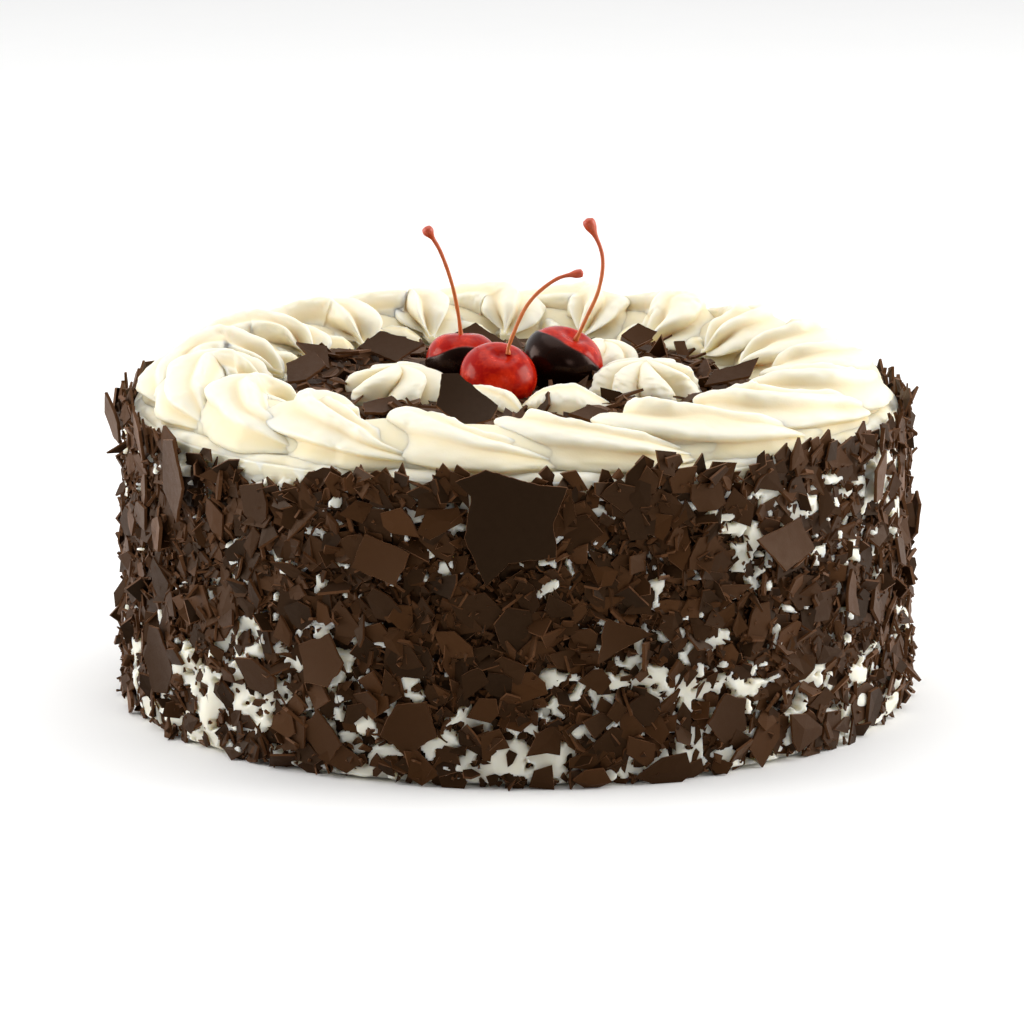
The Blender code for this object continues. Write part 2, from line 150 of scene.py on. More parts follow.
def smooth_path(points: np.ndarray, steps: int) -> np.ndarray:
    """A Catmull-Rom curve through rows of numbers, in even steps of its parameter.

    Args:
        points: one row for each control point.
        steps: how many samples to return.

    Returns:
        The sampled rows.
    """
    rows = np.asarray(points, float)
    rows = np.vstack([2 * rows[0] - rows[1], rows, 2 * rows[-1] - rows[-2]])
    at = np.linspace(0, len(points) - 1 - 1e-9, steps)
    first = at.astype(int)
    t = (at - first)[:, None]
    a, b, c, d = (rows[first + k] for k in range(4))
    return 0.5 * (
        2 * b + (c - a) * t + (2 * a - 5 * b + 4 * c - d) * t**2 + (3 * b - a - 3 * c + d) * t**3
    )


def smooth_step(low: float, high: float, values: np.ndarray) -> np.ndarray:
    """0 below low and 1 above high, with the cubic 3t^2 - 2t^3 in between."""
    t = np.clip((values - low) / (high - low), 0, 1)
    return t * t * (3 - 2 * t)


@dataclass
class Skin:
    """A mesh in the making.

    Attributes:
        points: one row for each vertex.
        quads: rows of four vertex numbers.
        triangles: rows of three vertex numbers.
        values: named numbers, one for each vertex.
        broken: the numbers of the quads that are broken edges.
    """

    points: np.ndarray
    quads: np.ndarray
    triangles: np.ndarray
    values: dict[str, np.ndarray] = field(default_factory=dict)
    broken: np.ndarray | None = None

    def volume(self) -> float:
        """The signed volume, as the sum of the tetrahedra between each face and the origin."""
        sides = [self.triangles] if len(self.triangles) else []
        if len(self.quads):
            sides += [self.quads[:, [0, 1, 2]], self.quads[:, [0, 2, 3]]]
        a, b, c = (self.points[np.vstack(sides)[:, k]] for k in range(3))
        return float(np.einsum("ij,ij->", a, np.cross(b, c)) / 6)

    def build(
        self,
        name: str,
        material: bpy.types.Material,
        slot: Slot,
        replaced: list[str],
        smooth_deg: float | None = None,
    ) -> None:
        """Makes the object, with its faces outwards, and hands it to the frame.

        Args:
            name: the piece's name.
            material: its finish.
            slot: the record's finish that it belongs to; not used.
            replaced: the frame's nodes that it stands for.
            smooth_deg: edges sharper than this stay sharp; None leaves every face flat.
        """
        order = slice(None, None, -1) if self.volume() < 0 else slice(None)
        faces = self.quads[:, order].tolist() + self.triangles[:, order].tolist()
        mesh = bpy.data.meshes.new(name)
        mesh.from_pydata(self.points.tolist(), [], faces)
        for key, numbers in self.values.items():
            mesh.attributes.new(key, "FLOAT", "POINT").data.foreach_set("value", numbers.ravel())
        if self.broken is not None:
            flags = np.zeros(len(faces))
            flags[self.broken] = 1
            mesh.attributes.new("broken", "FLOAT", "FACE").data.foreach_set("value", flags)
        if smooth_deg is not None:
            mesh.shade_smooth()
            mesh.set_sharp_from_angle(angle=math.radians(smooth_deg))
        mesh.materials.append(material)
        piece = bpy.data.objects.new(name, mesh)
        bpy.context.scene.collection.objects.link(piece)
        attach(piece, BODY)
        if replaced:
            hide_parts(*replaced)
        LOG.info("%s: %d faces", name, len(faces))


def closed_skin(rings: np.ndarray, values: dict[str, np.ndarray] | None = None) -> Skin:
    """A closed surface through a stack of closed rings, with a pole at each end.

    Args:
        rings: points by ring and place on the ring.
        values: named numbers on the same grid.

    Returns:
        The skin: quads between the rings and a fan of triangles round each pole.
    """
    count, around_count = rings.shape[:2]
    here = np.arange(count * around_count).reshape(count, around_count)
    right = np.roll(here, -1, axis=1)
    quads = np.stack([here[:-1], right[:-1], right[1:], here[1:]], axis=-1).reshape(-1, 4)
    first, last = count * around_count, count * around_count + 1
    start = np.stack([right[0], here[0], np.full(around_count, first)], axis=-1)
    end = np.stack([here[-1], right[-1], np.full(around_count, last)], axis=-1)
    points = np.vstack([rings.reshape(-1, 3), rings[0].mean(axis=0), rings[-1].mean(axis=0)])
    held = {
        key: np.concatenate([grid.ravel(), [grid[0].mean(), grid[-1].mean()]])
        for key, grid in (values or {}).items()
    }
    return Skin(points, quads, np.vstack([start, end]), held)


def ring_skin(grid: np.ndarray, values: dict[str, np.ndarray]) -> Skin:
    """A closed ring-shaped surface.

    Args:
        grid: points by place round the section and place round the ring, both closed.
        values: named numbers on the same grid.

    Returns:
        The skin, of quads alone.
    """
    count, around_count = grid.shape[:2]
    here = np.arange(count * around_count).reshape(count, around_count)
    right, up = np.roll(here, -1, axis=1), np.roll(here, -1, axis=0)
    quads = np.stack([here, right, np.roll(right, -1, axis=0), up], axis=-1).reshape(-1, 4)
    held = {key: value.ravel() for key, value in values.items()}
    return Skin(grid.reshape(-1, 3), quads, np.empty((0, 3), int), held)


# ------------------------------------------------------------------ finishes


class Desk:
    """Places and joins the nodes of one node tree."""

    def __init__(self, tree: bpy.types.NodeTree) -> None:
        """Keeps the tree."""
        self.tree = tree

    def add(self, kind: str, inputs: dict | None = None, **settings: object) -> bpy.types.Node:
        """Adds a node.

        Args:
            kind: Blender's name of the node type.
            inputs: socket names or numbers, with a value or a socket to join each to.
            settings: the node's own settings.

        Returns:
            The node.
        """
        node = self.tree.nodes.new(kind)
        for key, value in settings.items():
            setattr(node, key, value)
        for key, value in (inputs or {}).items():
            if isinstance(value, bpy.types.NodeSocket):
                self.tree.links.new(value, node.inputs[key])
            else:
                node.inputs[key].default_value = value
        return node

    def blend(self, share: object, low: object, high: object) -> bpy.types.NodeSocket:
        """Mixes two colours.

        Args:
            share: 0 gives low and 1 gives high.
            low: a colour or a socket.
            high: a colour or a socket.

        Returns:
            The mixed colour's socket.
        """
        node = self.add("ShaderNodeMix", {0: share, 6: opaque(low), 7: opaque(high)}, data_type="RGBA")
        return node.outputs[2]

    def remap(self, value: object, span: Span, to: Span) -> bpy.types.NodeSocket:
        """Carries a value from one span of numbers to another, and clamps it there.

        Args:
            value: the socket to read.
            span: the numbers that it runs between.
            to: the numbers that they become.

        Returns:
            The new value's socket.
        """
        named = {"Value": value, "From Min": span[0], "From Max": span[1]}
        return self.add("ShaderNodeMapRange", {**named, "To Min": to[0], "To Max": to[1]}).outputs[0]

    def attribute(self, name: str) -> bpy.types.NodeSocket:
        """The number of that name on the mesh."""
        return self.add("ShaderNodeAttribute", attribute_name=name).outputs["Fac"]


def opaque(colour: object) -> object:
    """A colour with its alpha, or the socket as it is."""
    return (*colour, 1.0) if isinstance(colour, tuple) else colour


def grain_group() -> bpy.types.NodeTree:
    """The shared grain: two sizes of noise on the object's own coordinates.

    Returns:
        A group with the inputs Coarse, Fine and Mix, and the output Height.
    """
    name = "grain"
    if name in bpy.data.node_groups:
        return bpy.data.node_groups[name]
    tree = bpy.data.node_groups.new(name, "ShaderNodeTree")
    for key, value in (("Coarse", 150.0), ("Fine", 900.0), ("Mix", 0.4)):
        socket = tree.interface.new_socket(key, in_out="INPUT", socket_type="NodeSocketFloat")
        socket.default_value = value
    tree.interface.new_socket("Height", in_out="OUTPUT", socket_type="NodeSocketFloat")
    desk = Desk(tree)
    given = desk.add("NodeGroupInput").outputs
    place = desk.add("ShaderNodeTexCoord").outputs["Object"]
    coarse, fine = (
        desk.add("ShaderNodeTexNoise", {"Vector": place, "Scale": scale, "Detail": detail}).outputs["Fac"]
        for scale, detail in ((given["Coarse"], 3.0), (given["Fine"], 2.0))
    )
    mixed = desk.add("ShaderNodeMix", {0: given["Mix"], 2: coarse, 3: fine})
    desk.add("NodeGroupOutput", {0: mixed.outputs[0]})
    return tree


@dataclass(frozen=True)
class Grain:
    """The fine relief of a finish, which the roughness follows.

    Attributes:
        coarse: how many coarse grains go to a metre.
        fine: how many fine grains go to a metre.
        mix: how much of the fine grain shows.
        bump: how strongly the grain shades the surface.
        relief: how high the grain stands.
        rough: least and most roughness.
        span: the grain's heights that the roughness runs between.
    """

    coarse: float
    fine: float
    mix: float
    bump: float = 0.0
    relief: float = 0.1 * MM
    rough: Span = (0.5, 0.5)
    span: Span = (0.3, 0.7)

    def height(self, desk: Desk) -> bpy.types.NodeSocket:
        """Places the shared grain in a material, and gives its Height output."""
        node = desk.tree.nodes.new("ShaderNodeGroup")
        node.node_tree = grain_group()
        for key, value in (("Coarse", self.coarse), ("Fine", self.fine), ("Mix", self.mix)):
            node.inputs[key].default_value = value
        return node.outputs["Height"]


class Finish:
    """A finish whose roughness and shading follow its grain.

    Attributes:
        name: the material's name.
        grain: its fine relief.
    """

    name: str
    grain: Grain

    def tint(self, desk: Desk, height: bpy.types.NodeSocket) -> bpy.types.NodeSocket:
        """Joins up the base colour.

        Args:
            desk: the material's desk.
            height: the grain's height.

        Returns:
            The colour's socket.
        """
        raise NotImplementedError

    def settings(self) -> dict[str, object]:
        """The shader's sockets that have one value all over."""
        return {}

    def material(self) -> bpy.types.Material:
        """Makes the material."""
        made = bpy.data.materials.new(self.name)
        made.use_nodes = True
        desk = Desk(made.node_tree)
        shader = made.node_tree.nodes["Principled BSDF"]
        height = self.grain.height(desk)
        joined_up = {"Base Color": self.tint(desk, height)}
        if self.grain.bump:
            relief = {"Strength": self.grain.bump, "Distance": self.grain.relief, "Height": height}
            joined_up["Roughness"] = desk.remap(height, self.grain.span, self.grain.rough)
            joined_up["Normal"] = desk.add("ShaderNodeBump", relief).outputs[0]
        for key, socket in joined_up.items():
            made.node_tree.links.new(socket, shader.inputs[key])
        for key, value in self.settings().items():
            shader.inputs[key].default_value = value
        return made


@dataclass(frozen=True)
class CreamFinish(Finish):
    """Whipped cream: soft satin ivory, with a warm painted shade in its grooves, hollows and low places.

    Attributes:
        light: the colour on a ridge.
        deep: the painted shade colour, reached where the groove value is 1.
        scatter: how much of the light goes into the cream.
        spread: how far red, green and blue go, against each other.
        reach: how far light goes in the cream.
        shine: the level of its highlights.
    """

    name: str = "cream"
    grain: Grain = Grain(260.0, 1500.0, 0.35, bump=0.35, relief=0.25 * MM, rough=(0.38, 0.55))
    light: Colour = (0.765, 0.730, 0.610)
    deep: Colour = (0.80, 0.685, 0.43)
    scatter: float = 0.8
    spread: Colour = (1.0, 0.88, 0.66)
    reach: float = 4.5 * MM
    shine: float = 0.25

    def tint(self, desk: Desk, height: bpy.types.NodeSocket) -> bpy.types.NodeSocket:
        """The colour, with painted shade; the mesh value groove is 1 where the painted shade is deepest."""
        # Painted shade: the groove value blends the cream from its own colour towards the warm deep shade.
        return desk.blend(desk.attribute("groove"), self.light, self.deep)

    def settings(self) -> dict[str, object]:
        """The cream's depth and its shine."""
        return {
            "Subsurface Weight": self.scatter,
            "Subsurface Radius": self.spread,
            "Subsurface Scale": self.reach,
            "Specular IOR Level": self.shine,
        }


@dataclass(frozen=True)
class ChocolateFinish(Finish):
    """Dark chocolate: satin faces that vary from flake to flake, and redder broken edges.

    Attributes:
        dark: the darkest face.
        pale: the palest face.
        edge: a broken edge.
        glint: the tint of its highlights.
        bloom: the tint of the sheen at a flat angle.
    """

    name: str = "chocolate"
    grain: Grain = Grain(500.0, 2600.0, 0.5, bump=0.3, relief=0.12 * MM, rough=(0.46, 0.66))
    dark: Colour = (0.0075, 0.0027, 0.0006)
    pale: Colour = (0.056, 0.0205, 0.0058)
    edge: Colour = (0.080, 0.032, 0.012)
    glint: Colour = (1.0, 0.62, 0.36)
    bloom: Colour = (1.0, 0.52, 0.28)

    def tint(self, desk: Desk, height: bpy.types.NodeSocket) -> bpy.types.NodeSocket:
        """The colour; tone is a flake's own brown, drawn at random, but held low as painted shade on the two
        front shards and on the crumb sleeve; broken marks its edges.
        """
        face = desk.blend(desk.attribute("tone"), self.dark, self.pale)
        return desk.blend(desk.attribute("broken"), face, self.edge)

    def settings(self) -> dict[str, object]:
        """The chocolate's shine and its sheen."""
        return {
            "IOR": 1.33,
            "Specular IOR Level": 0.4,
            "Specular Tint": opaque(self.glint),
            "Sheen Weight": 0.28,
            "Sheen Roughness": 0.32,
            "Sheen Tint": opaque(self.bloom),
        }


@dataclass(frozen=True)
class CherryFinish(Finish):
    """Candied cherry: wet red skin, and glossy dark chocolate where it was dipped.

    Attributes:
        red: the deepest skin.
        bright: the brightest skin.
        coat: the chocolate.
        mottle: the grain's heights that the skin's colour runs between.
        glint: the tint of its highlights.
    """

    name: str = "cherry"
    grain: Grain = Grain(190.0, 800.0, 0.3, bump=0.25, relief=0.3 * MM, rough=(0.14, 0.30), span=(0.35, 0.65))
    red: Colour = (0.30, 0.0030, 0.0012)
    bright: Colour = (0.52, 0.020, 0.0030)
    coat: Colour = (0.0060, 0.0018, 0.0010)
    mottle: Span = (0.42, 0.62)
    glint: Colour = (1.0, 0.62, 0.50)

    def tint(self, desk: Desk, height: bpy.types.NodeSocket) -> bpy.types.NodeSocket:
        """The colour; dip is 1 on the chocolate and 0 on the skin."""
        skin = desk.blend(desk.remap(height, self.mottle, (0.0, 1.0)), self.red, self.bright)
        return desk.blend(desk.attribute("dip"), skin, self.coat)

    def settings(self) -> dict[str, object]:
        """The fruit's shine."""
        return {"IOR": 1.30, "Specular IOR Level": 0.40, "Specular Tint": opaque(self.glint)}


@dataclass(frozen=True)
class StalkFinish(Finish):
    """Cherry stalk: orange-red and satin, browner towards its far end.

    Attributes:
        low: the colour near the cherry.
        high: the colour at the far end.
        turn: the shares of the length that the colour changes between.
    """

    name: str = "stalk"
    grain: Grain = Grain(700.0, 2500.0, 0.4, bump=0.5, relief=0.15 * MM, rough=(0.3, 0.5))
    low: Colour = (0.58, 0.15, 0.030)
    high: Colour = (0.46, 0.055, 0.020)
    turn: Span = (0.45, 1.0)

    def tint(self, desk: Desk, height: bpy.types.NodeSocket) -> bpy.types.NodeSocket:
        """The colour; share runs from 0 at the cherry to 1 at the far end."""
        return desk.blend(desk.remap(desk.attribute("share"), self.turn, (0.0, 1.0)), self.low, self.high)


@dataclass(frozen=True)
class FloorFinish(Finish):
    """The plain pale floor, with a trace of mottling.

    Attributes:
        pale: its colour.
        mottle: how bright its darker spots are against the rest.
    """

    name: str = "floor"
    grain: Grain = Grain(8.0, 60.0, 0.3)
    pale: Colour = (0.94, 0.94, 0.935)
    mottle: float = 0.97

    def tint(self, desk: Desk, height: bpy.types.NodeSocket) -> bpy.types.NodeSocket:
        """The colour, which follows the grain."""
        return desk.blend(height, self.pale, tuple(self.mottle * part for part in self.pale))

    def settings(self) -> dict[str, object]:
        """The floor is matt."""
        return {"Roughness": 0.7}


# ------------------------------------------------------------------ cream


@dataclass
class CreamBody:
    """The cream-covered cake under everything else.

    Attributes:
        radius: the side's radius, near the top.
        edge: how round the upper edge is.
        lumps: how far its lumps, smears and ripples stand out.
        around_count: how many points a ring has.
        seed: picks its unevenness.
    """

    radius: float = 106.5 * MM
    edge: float = 4.0 * MM
    lumps: tuple[float, float, float] = (0.9 * MM, 0.7 * MM, 0.3 * MM)
    around_count: int = 540
    seed: int = 3

    def profile(self) -> np.ndarray:
        """The outline from the base's middle out to the foot, up the side, round the edge and in
        over the top.

        Returns:
            Rows of radius and height.
        """
        base = [[share * self.radius, 0.0] for share in (0.3, 0.7, 0.97)]
        up = np.linspace(0.6 * MM, CAKE_TOP - self.edge, 60)
        side = np.column_stack([side_radius(self.radius, up), up])
        bend = np.linspace(0, math.pi / 2, 9)[1:, None]
        centre = np.array([self.radius, CAKE_TOP]) - self.edge
        corner = centre + self.edge * np.hstack([np.cos(bend), np.sin(bend)])
        top = np.linspace(0.94, 0.02, 26)[:, None] * [self.radius, 0] + [0, CAKE_TOP]
        return np.vstack([base, side, corner, top])

    def skin(self) -> Skin:
        """The side and top. The side is moved in and out, and the top up and down, by lumps, by
        level smears of the palette knife and by fine ripples.

        Returns:
            The closed skin, with its groove value: painted shade, a little all over and more in the hollows
                between lumps.
        """
        azimuth = np.linspace(0, TURN, self.around_count, endpoint=False)
        radius, height = self.profile().T[..., None]
        flat = around(azimuth, radius, height)
        lumps = layered(flat, 9 * MM, 3, self.seed)
        smears = noise(flat * [1, 1, 3.5], 16 * MM, self.seed + 9)
        ripples = noise(flat, 1.7 * MM, self.seed + 20)
        push = sum(size * form for size, form in zip(self.lumps, (lumps, smears, ripples)))
        push = push * smooth_step(0, 4 * MM, height)
        outward = smooth_step(0.9 * self.radius, self.radius, radius)
        moved = around(azimuth, radius + push * outward, height + 0.8 * push * (1 - outward))
        # Painted shade: the groove value rises where the lumps sink, tinting the hollows towards the cream's
        # shade colour.
        return closed_skin(moved, {"groove": np.clip(0.25 - 0.5 * lumps, 0, 1)})

    def build(self, cream: bpy.types.Material) -> None:
        """Makes the body."""
        self.skin().build("cream_cover", cream, Slot.CREAM, ["cake_body"], smooth_deg=60)


@dataclass
class CreamSmears:
    """The cream that is pressed out between the flakes, and smeared over some of them.

    Attributes:
        radius: the side's radius, inside the smears.
        bands: the lower and upper edge of the lower and of the upper piece.
        thick: how far the fullest smear stands out.
        hidden: how deep the sleeve lies where no cream shows.
        inside: how deep its inner face lies.
        cover: the level of the field above which cream shows.
        rows: how many rings each piece has.
        around_count: how many points a ring has.
        seed: picks where the cream shows.
    """

    radius: float = SIDE_RADIUS
    bands: tuple[Span, Span] = ((0.8 * MM, 41.4 * MM), (41.0 * MM, 82.0 * MM))
    thick: float = 4.4 * MM
    hidden: float = 0.8 * MM
    inside: float = 2.5 * MM
    cover: float = 0.17
    rows: int = 84
    around_count: int = 1120
    seed: int = 33

    def level(self, azimuth: np.ndarray, height: np.ndarray) -> np.ndarray:
        """How far the field of level smears, small gaps and wide drifts passes the cover. It is
        higher near the foot and under the border. The coat's flakes follow it too.

        Args:
            azimuth: radians from the front.
            height: heights over the base.

        Returns:
            Above 0 where cream shows.
        """
        flat = around(azimuth, self.radius, height)
        return (
            0.55 * noise(flat * [1, 1, 1.3], 3.6 * MM, self.seed)
            + 0.55 * noise(flat, 2.0 * MM, self.seed + 1)
            + 0.26 * noise(flat * [1, 1, 1.6], 10 * MM, self.seed + 2)
            + 0.32 * noise(flat, 34 * MM, self.seed + 3)
            + 0.26 * (1 - smooth_step(14 * MM, 44 * MM, height))
            + 0.12 * smooth_step(60 * MM, 76 * MM, height)
            - self.cover
        )

    def skin(self, low: float, high: float) -> Skin:
        """A thin closed sleeve. Its outer face lies inside the side, and stands out where the
        level is above 0.

        Args:
            low: the height of its lower edge.
            high: the height of its upper edge.

        Returns:
            The skin, with its groove value: painted shade, at half strength where the sleeve lies sunk under
                the flakes and on its inner face.
        """
        height = np.linspace(low, high, self.rows)[:, None]
        azimuth = np.linspace(0, TURN, self.around_count, endpoint=False)[None, :]
        flat = around(azimuth, self.radius, height)
        full = smooth_step(0, 0.18, self.level(azimuth, height))
        top = self.bands[-1][1]
        fade = smooth_step(0, 2 * MM, height) * (1 - smooth_step(top - 9 * MM, top, height))
        swell = 0.75 + 0.35 * noise(flat, 5 * MM, self.seed + 4)
        out = (full * self.thick * swell - self.hidden) * fade
        outer = around(azimuth, side_radius(self.radius, height) + out, height)
        inner = around(azimuth, self.radius - self.inside, height[[-1, 0]])
        # Painted shade: where no smear stands out, the sleeve lies deep between the flakes and is tinted
        # towards the cream's shade colour.
        groove = np.vstack([0.5 * (1 - full), np.full((2, self.around_count), 0.5)])
        return ring_skin(np.vstack([outer, inner]), {"groove": groove})

    def build(self, cream: bpy.types.Material) -> None:
        """Makes the smears, in a lower and an upper band."""
        for name, (low, high) in zip(("low", "high"), self.bands):
            self.skin(low, high).build(f"cream_smears_{name}", cream, Slot.CREAM, [], ALL_SMOOTH)


def leaf_wave(phase: np.ndarray, share: float = 0.70) -> np.ndarray:
    """The groove between ridges that lie on each other like leaves.

    Args:
        phase: a full turn for each ridge.
        share: how much of a turn the slow fall from the crest into the groove takes.

    Returns:
        0 on a crest and 1 in a groove: (1 - cos(2 pi t)) / 2, with t drawn out over the fall.
    """
    turn = (phase / TURN) % 1.0
    warped = np.where(turn < share, 0.5 * turn / share, 0.5 + 0.5 * (turn - share) / (1 - share))
    return (1 - np.cos(TURN * warped)) / 2


@dataclass
class Stroke:
    """One stroke of a star nozzle, lying on the cake, with its outer side on its right.

    Attributes:
        rows: x, y, height of the middle over the cake, half the width and half the thickness.
        seed: picks its unevenness.
        ridges: how many ridges the nozzle has all round.
        depth: how deep a groove is, as a share of the reach.
        lobes: how far the grooves hold back at the start, as a share of the length.
        stagger: how far each ridge past the top starts after the one before it.
        tilt: how much lower the outer side lies at the start.
        lean: how much lower still it lies later on.
        inner: how much narrower the inner side is, where the stroke bends round.
        start: the share of the length in which it swells.
        end: the share of the length in which it thins out.
        stations: how many rings it has.
        around_count: how many points a ring has.
    """

    rows: np.ndarray
    seed: int
    ridges: int = 7
    depth: float = 0.22
    lobes: float = 0.08
    stagger: float = 0.10
    tilt: float = 0.08
    lean: float = 0.16
    inner: float = 1.0
    start: float = 0.10
    end: float = 0.30
    stations: int = 120
    around_count: int = 120

    def skin(self) -> Skin:
        """The stroke's surface. The section is an ellipse whose reach is cut by grooves that
        follow the leaf wave. At the start each ridge ends in a round lobe of its own, as the
        swell, a quarter circle, begins later in the grooves. What would lie under the cake's
        top is pressed flat there.

        Returns:
            The closed skin, with its groove value: painted shade in the grooves and low down near the cake's
                top.
        """
        share = np.linspace(0, 1, self.stations)[:, None] ** 1.25
        rows = smooth_path(self.rows, 4 * self.stations)
        pick = share[:, 0] * (len(rows) - 1)
        rows = np.stack([np.interp(pick, np.arange(len(rows)), column) for column in rows.T], axis=1)
        along = np.gradient(rows[:, :2], axis=0)
        along /= np.linalg.norm(along, axis=1)[:, None]
        angle = np.linspace(-0.25 * TURN, 0.75 * TURN, self.around_count, endpoint=False)[None, :]
        circle = np.stack(np.broadcast_arrays(np.cos(angle), np.sin(angle), share * 4), -1)
        drift = noise(circle, 0.8, self.seed)
        phase = self.ridges * (angle + 0.16 * drift) + 1.7 * self.seed
        groove = leaf_wave(phase)
        flow = np.stack(np.broadcast_arrays(share * 30, phase, 0 * phase), -1)
        flutter = noise(flow, 1.1, self.seed + 5)
        late = self.lobes * groove + self.stagger * np.clip((angle - 1.9) / 1.2, 0, 1)
        swell = np.sqrt(1 - (1 - np.clip((share - late) / self.start, 0.03, 1)) ** 2)
        tail = np.clip((1 - share) / self.end, 0.03, 1) ** 0.6
        inside = 1 - 0.6 * smooth_step(1.7, 2.6, angle) * smooth_step(0.1, 0.3, share)
        deep = self.depth * (1 + 0.5 * drift) * (1 + 0.5 * np.exp(-((share / 0.2) ** 2))) * inside
        reach = swell * tail * (1 - deep * groove + 0.04 * flutter * (1 - groove) + 0.05 * drift)
        aside = rows[:, 3:4] * reach * np.where(np.cos(angle) < 0, self.inner, 1.0) * np.cos(angle)
        tilt = self.tilt + self.lean * smooth_step(0.2, 0.55, share)
        rise = rows[:, 2:3] + rows[:, 4:5] * reach * np.sin(angle) - tilt * aside
        points = np.stack(
            [
                rows[:, :1] + aside * along[:, 1:2],
                rows[:, 1:2] - aside * along[:, :1],
                CAKE_TOP + np.maximum(rise, -PRESSED_FLAT + 0.02 * rise),
            ],
            axis=-1,
        )
        # Painted shade: the groove value is darkest in the grooves and within 7 mm of the cake's top, where
        # the stroke is shaded.
        low = 1 - smooth_step(0, 7 * MM, rise)
        shade = np.clip(groove**1.5 * 0.8 + 0.6 * low, 0, 1)
        return closed_skin(points, {"groove": shade})


def joined(skins: list[Skin]) -> Skin:
    """Several skins as one, with their groove values.

    Args:
        skins: the skins.

    Returns:
        One skin that holds every face.
    """
    starts = np.cumsum([0] + [len(skin.points) for skin in skins[:-1]])
    return Skin(
        np.vstack([skin.points for skin in skins]),
        np.vstack([skin.quads + start for skin, start in zip(skins, starts)]),
        np.vstack([skin.triangles + start for skin, start in zip(skins, starts)]),
        {"groove": np.concatenate([skin.values["groove"] for skin in skins])},
    )


@dataclass
class Border:
    """The ring of curled shells round the top.

    Attributes:
        shells: how many there are.
        radius: the ring that their strokes follow.
        first_deg: the azimuth of the first shell.
        sway_deg: how far the shells draw together at the front and apart at the back.
        stroke: forward, outward, height, half width and half thickness along a shell, in mm.
        curl: the same along the small curl in its hollow.
        foot_radius: the ring that the shared foot follows.
        foot_width: half the foot's width.
        foot_height: the foot's height.
    """

    shells: int = 18
    radius: float = 88.0 * MM
    first_deg: float = -11.7
    sway_deg: float = 5.0
    stroke: tuple = (
        (-7, -20, 2.4, 8.5, 5.5),
        (-9.5, -13.5, 3.8, 11.5, 8.6),
        (-10, -5.5, 4.8, 12.5, 10.2),
        (-5.5, 1.0, 4.8, 12.0, 10.0),
        (3, 5.5, 4.2, 10.4, 9.0),
        (12.5, 9.0, 3.2, 9.0, 7.4),
        (22, 11.0, 2.4, 7.6, 6.2),
        (32, 12.0, 1.0, 5.4, 4.6),
    )
    curl: tuple = (
        (6, -5, 2.4, 2.6, 2.8),
        (5.5, -12, 2.4, 3.2, 3.4),
        (1.5, -17, 2.2, 3.2, 3.4),
        (-4, -17.5, 2.2, 3.0, 3.0),
    )
    foot_radius: float = 87.0 * MM
    foot_width: float = 15.0 * MM
    foot_height: float = 8.0 * MM

    def rows_of(self, path: tuple, index: int, loose: float) -> np.ndarray:
        """One stroke of one shell in the cake's frame. The shells in front are a little flatter.

        Args:
            path: the stroke's own rows, in mm.
            index: the shell's number, from 0.
            loose: how far its points stray.

        Returns:
            Rows of x, y, height, half width and half thickness.
        """
        rng = np.random.default_rng(400 + index)
        rows = np.array(path) * MM
        rows[:, :2] += rng.normal(0, loose, (len(rows), 2))
        even = math.radians(self.first_deg) + TURN * index / self.shells
        ahead = math.degrees((even + math.pi) % TURN - math.pi) + 4
        flat = math.exp(-((ahead / 22) ** 2))
        rows[:, 3:] *= rng.uniform(0.94, 1.06)
        rows[:, [2, 4]] *= 1.02 - 0.20 * flat - 0.06 * math.cos(even)
        azimuth = even + math.radians(self.sway_deg) * math.sin(even) + rows[:, 0] / self.radius
        radius = self.radius + rows[:, 1]
        return np.column_stack([radius * np.sin(azimuth), -radius * np.cos(azimuth), rows[:, 2:]])

    def foot(self) -> Skin:
        """The cream that the shells share at their foot: a ring whose section is an ellipse, with
        a slightly uneven height.

        Returns:
            The skin, with its groove value: an even painted shade, as the foot lies under the shells.
        """
        azimuth = np.linspace(0, TURN, 360, endpoint=False)[None, :]
        angle = np.linspace(0, TURN, 40, endpoint=False)[:, None]
        uneven = 1 + 0.18 * noise(around(azimuth, self.radius, 0.0), 12 * MM, 95)
        radius = self.foot_radius + self.foot_width * np.cos(angle)
        rise = np.maximum(self.foot_height * np.sin(angle) * uneven, -PRESSED_FLAT)
        # Painted shade: the whole foot is tinted at 0.7 towards the cream's shade colour.
        return ring_skin(around(azimuth, radius, CAKE_TOP + rise), {"groove": np.full(rise.shape, 0.7)})

    def build(self, cream: bpy.types.Material) -> None:
        """Makes the foot and every shell: the broad stroke and the curl in its hollow."""
        self.foot().build("piped_foot", cream, Slot.CREAM, [], ALL_SMOOTH)
        broad = {"lobes": 0.10, "inner": 0.78, "end": 0.22}
        small = {"ridges": 3, "depth": 0.15, "lobes": 0.0, "stagger": 0.0}
        for index in range(self.shells):
            number = f"{index + 1:02d}"
            stroke = Stroke(
                self.rows_of(self.stroke, index, 0.8 * MM),
                40 + index,
                ridges=6 + index % 2,
                depth=0.19 + 0.018 * (index * 7 % 5),
                **broad,
            )
            curl = Stroke(
                self.rows_of(self.curl, index, 0.6 * MM), 140 + index, stations=50, around_count=44, **small
            )
            joined([stroke.skin(), curl.skin()]).build(
                f"piped_shell_{number}", cream, Slot.CREAM, [f"cream_shell_{number}"], PIPED_SMOOTH
            )


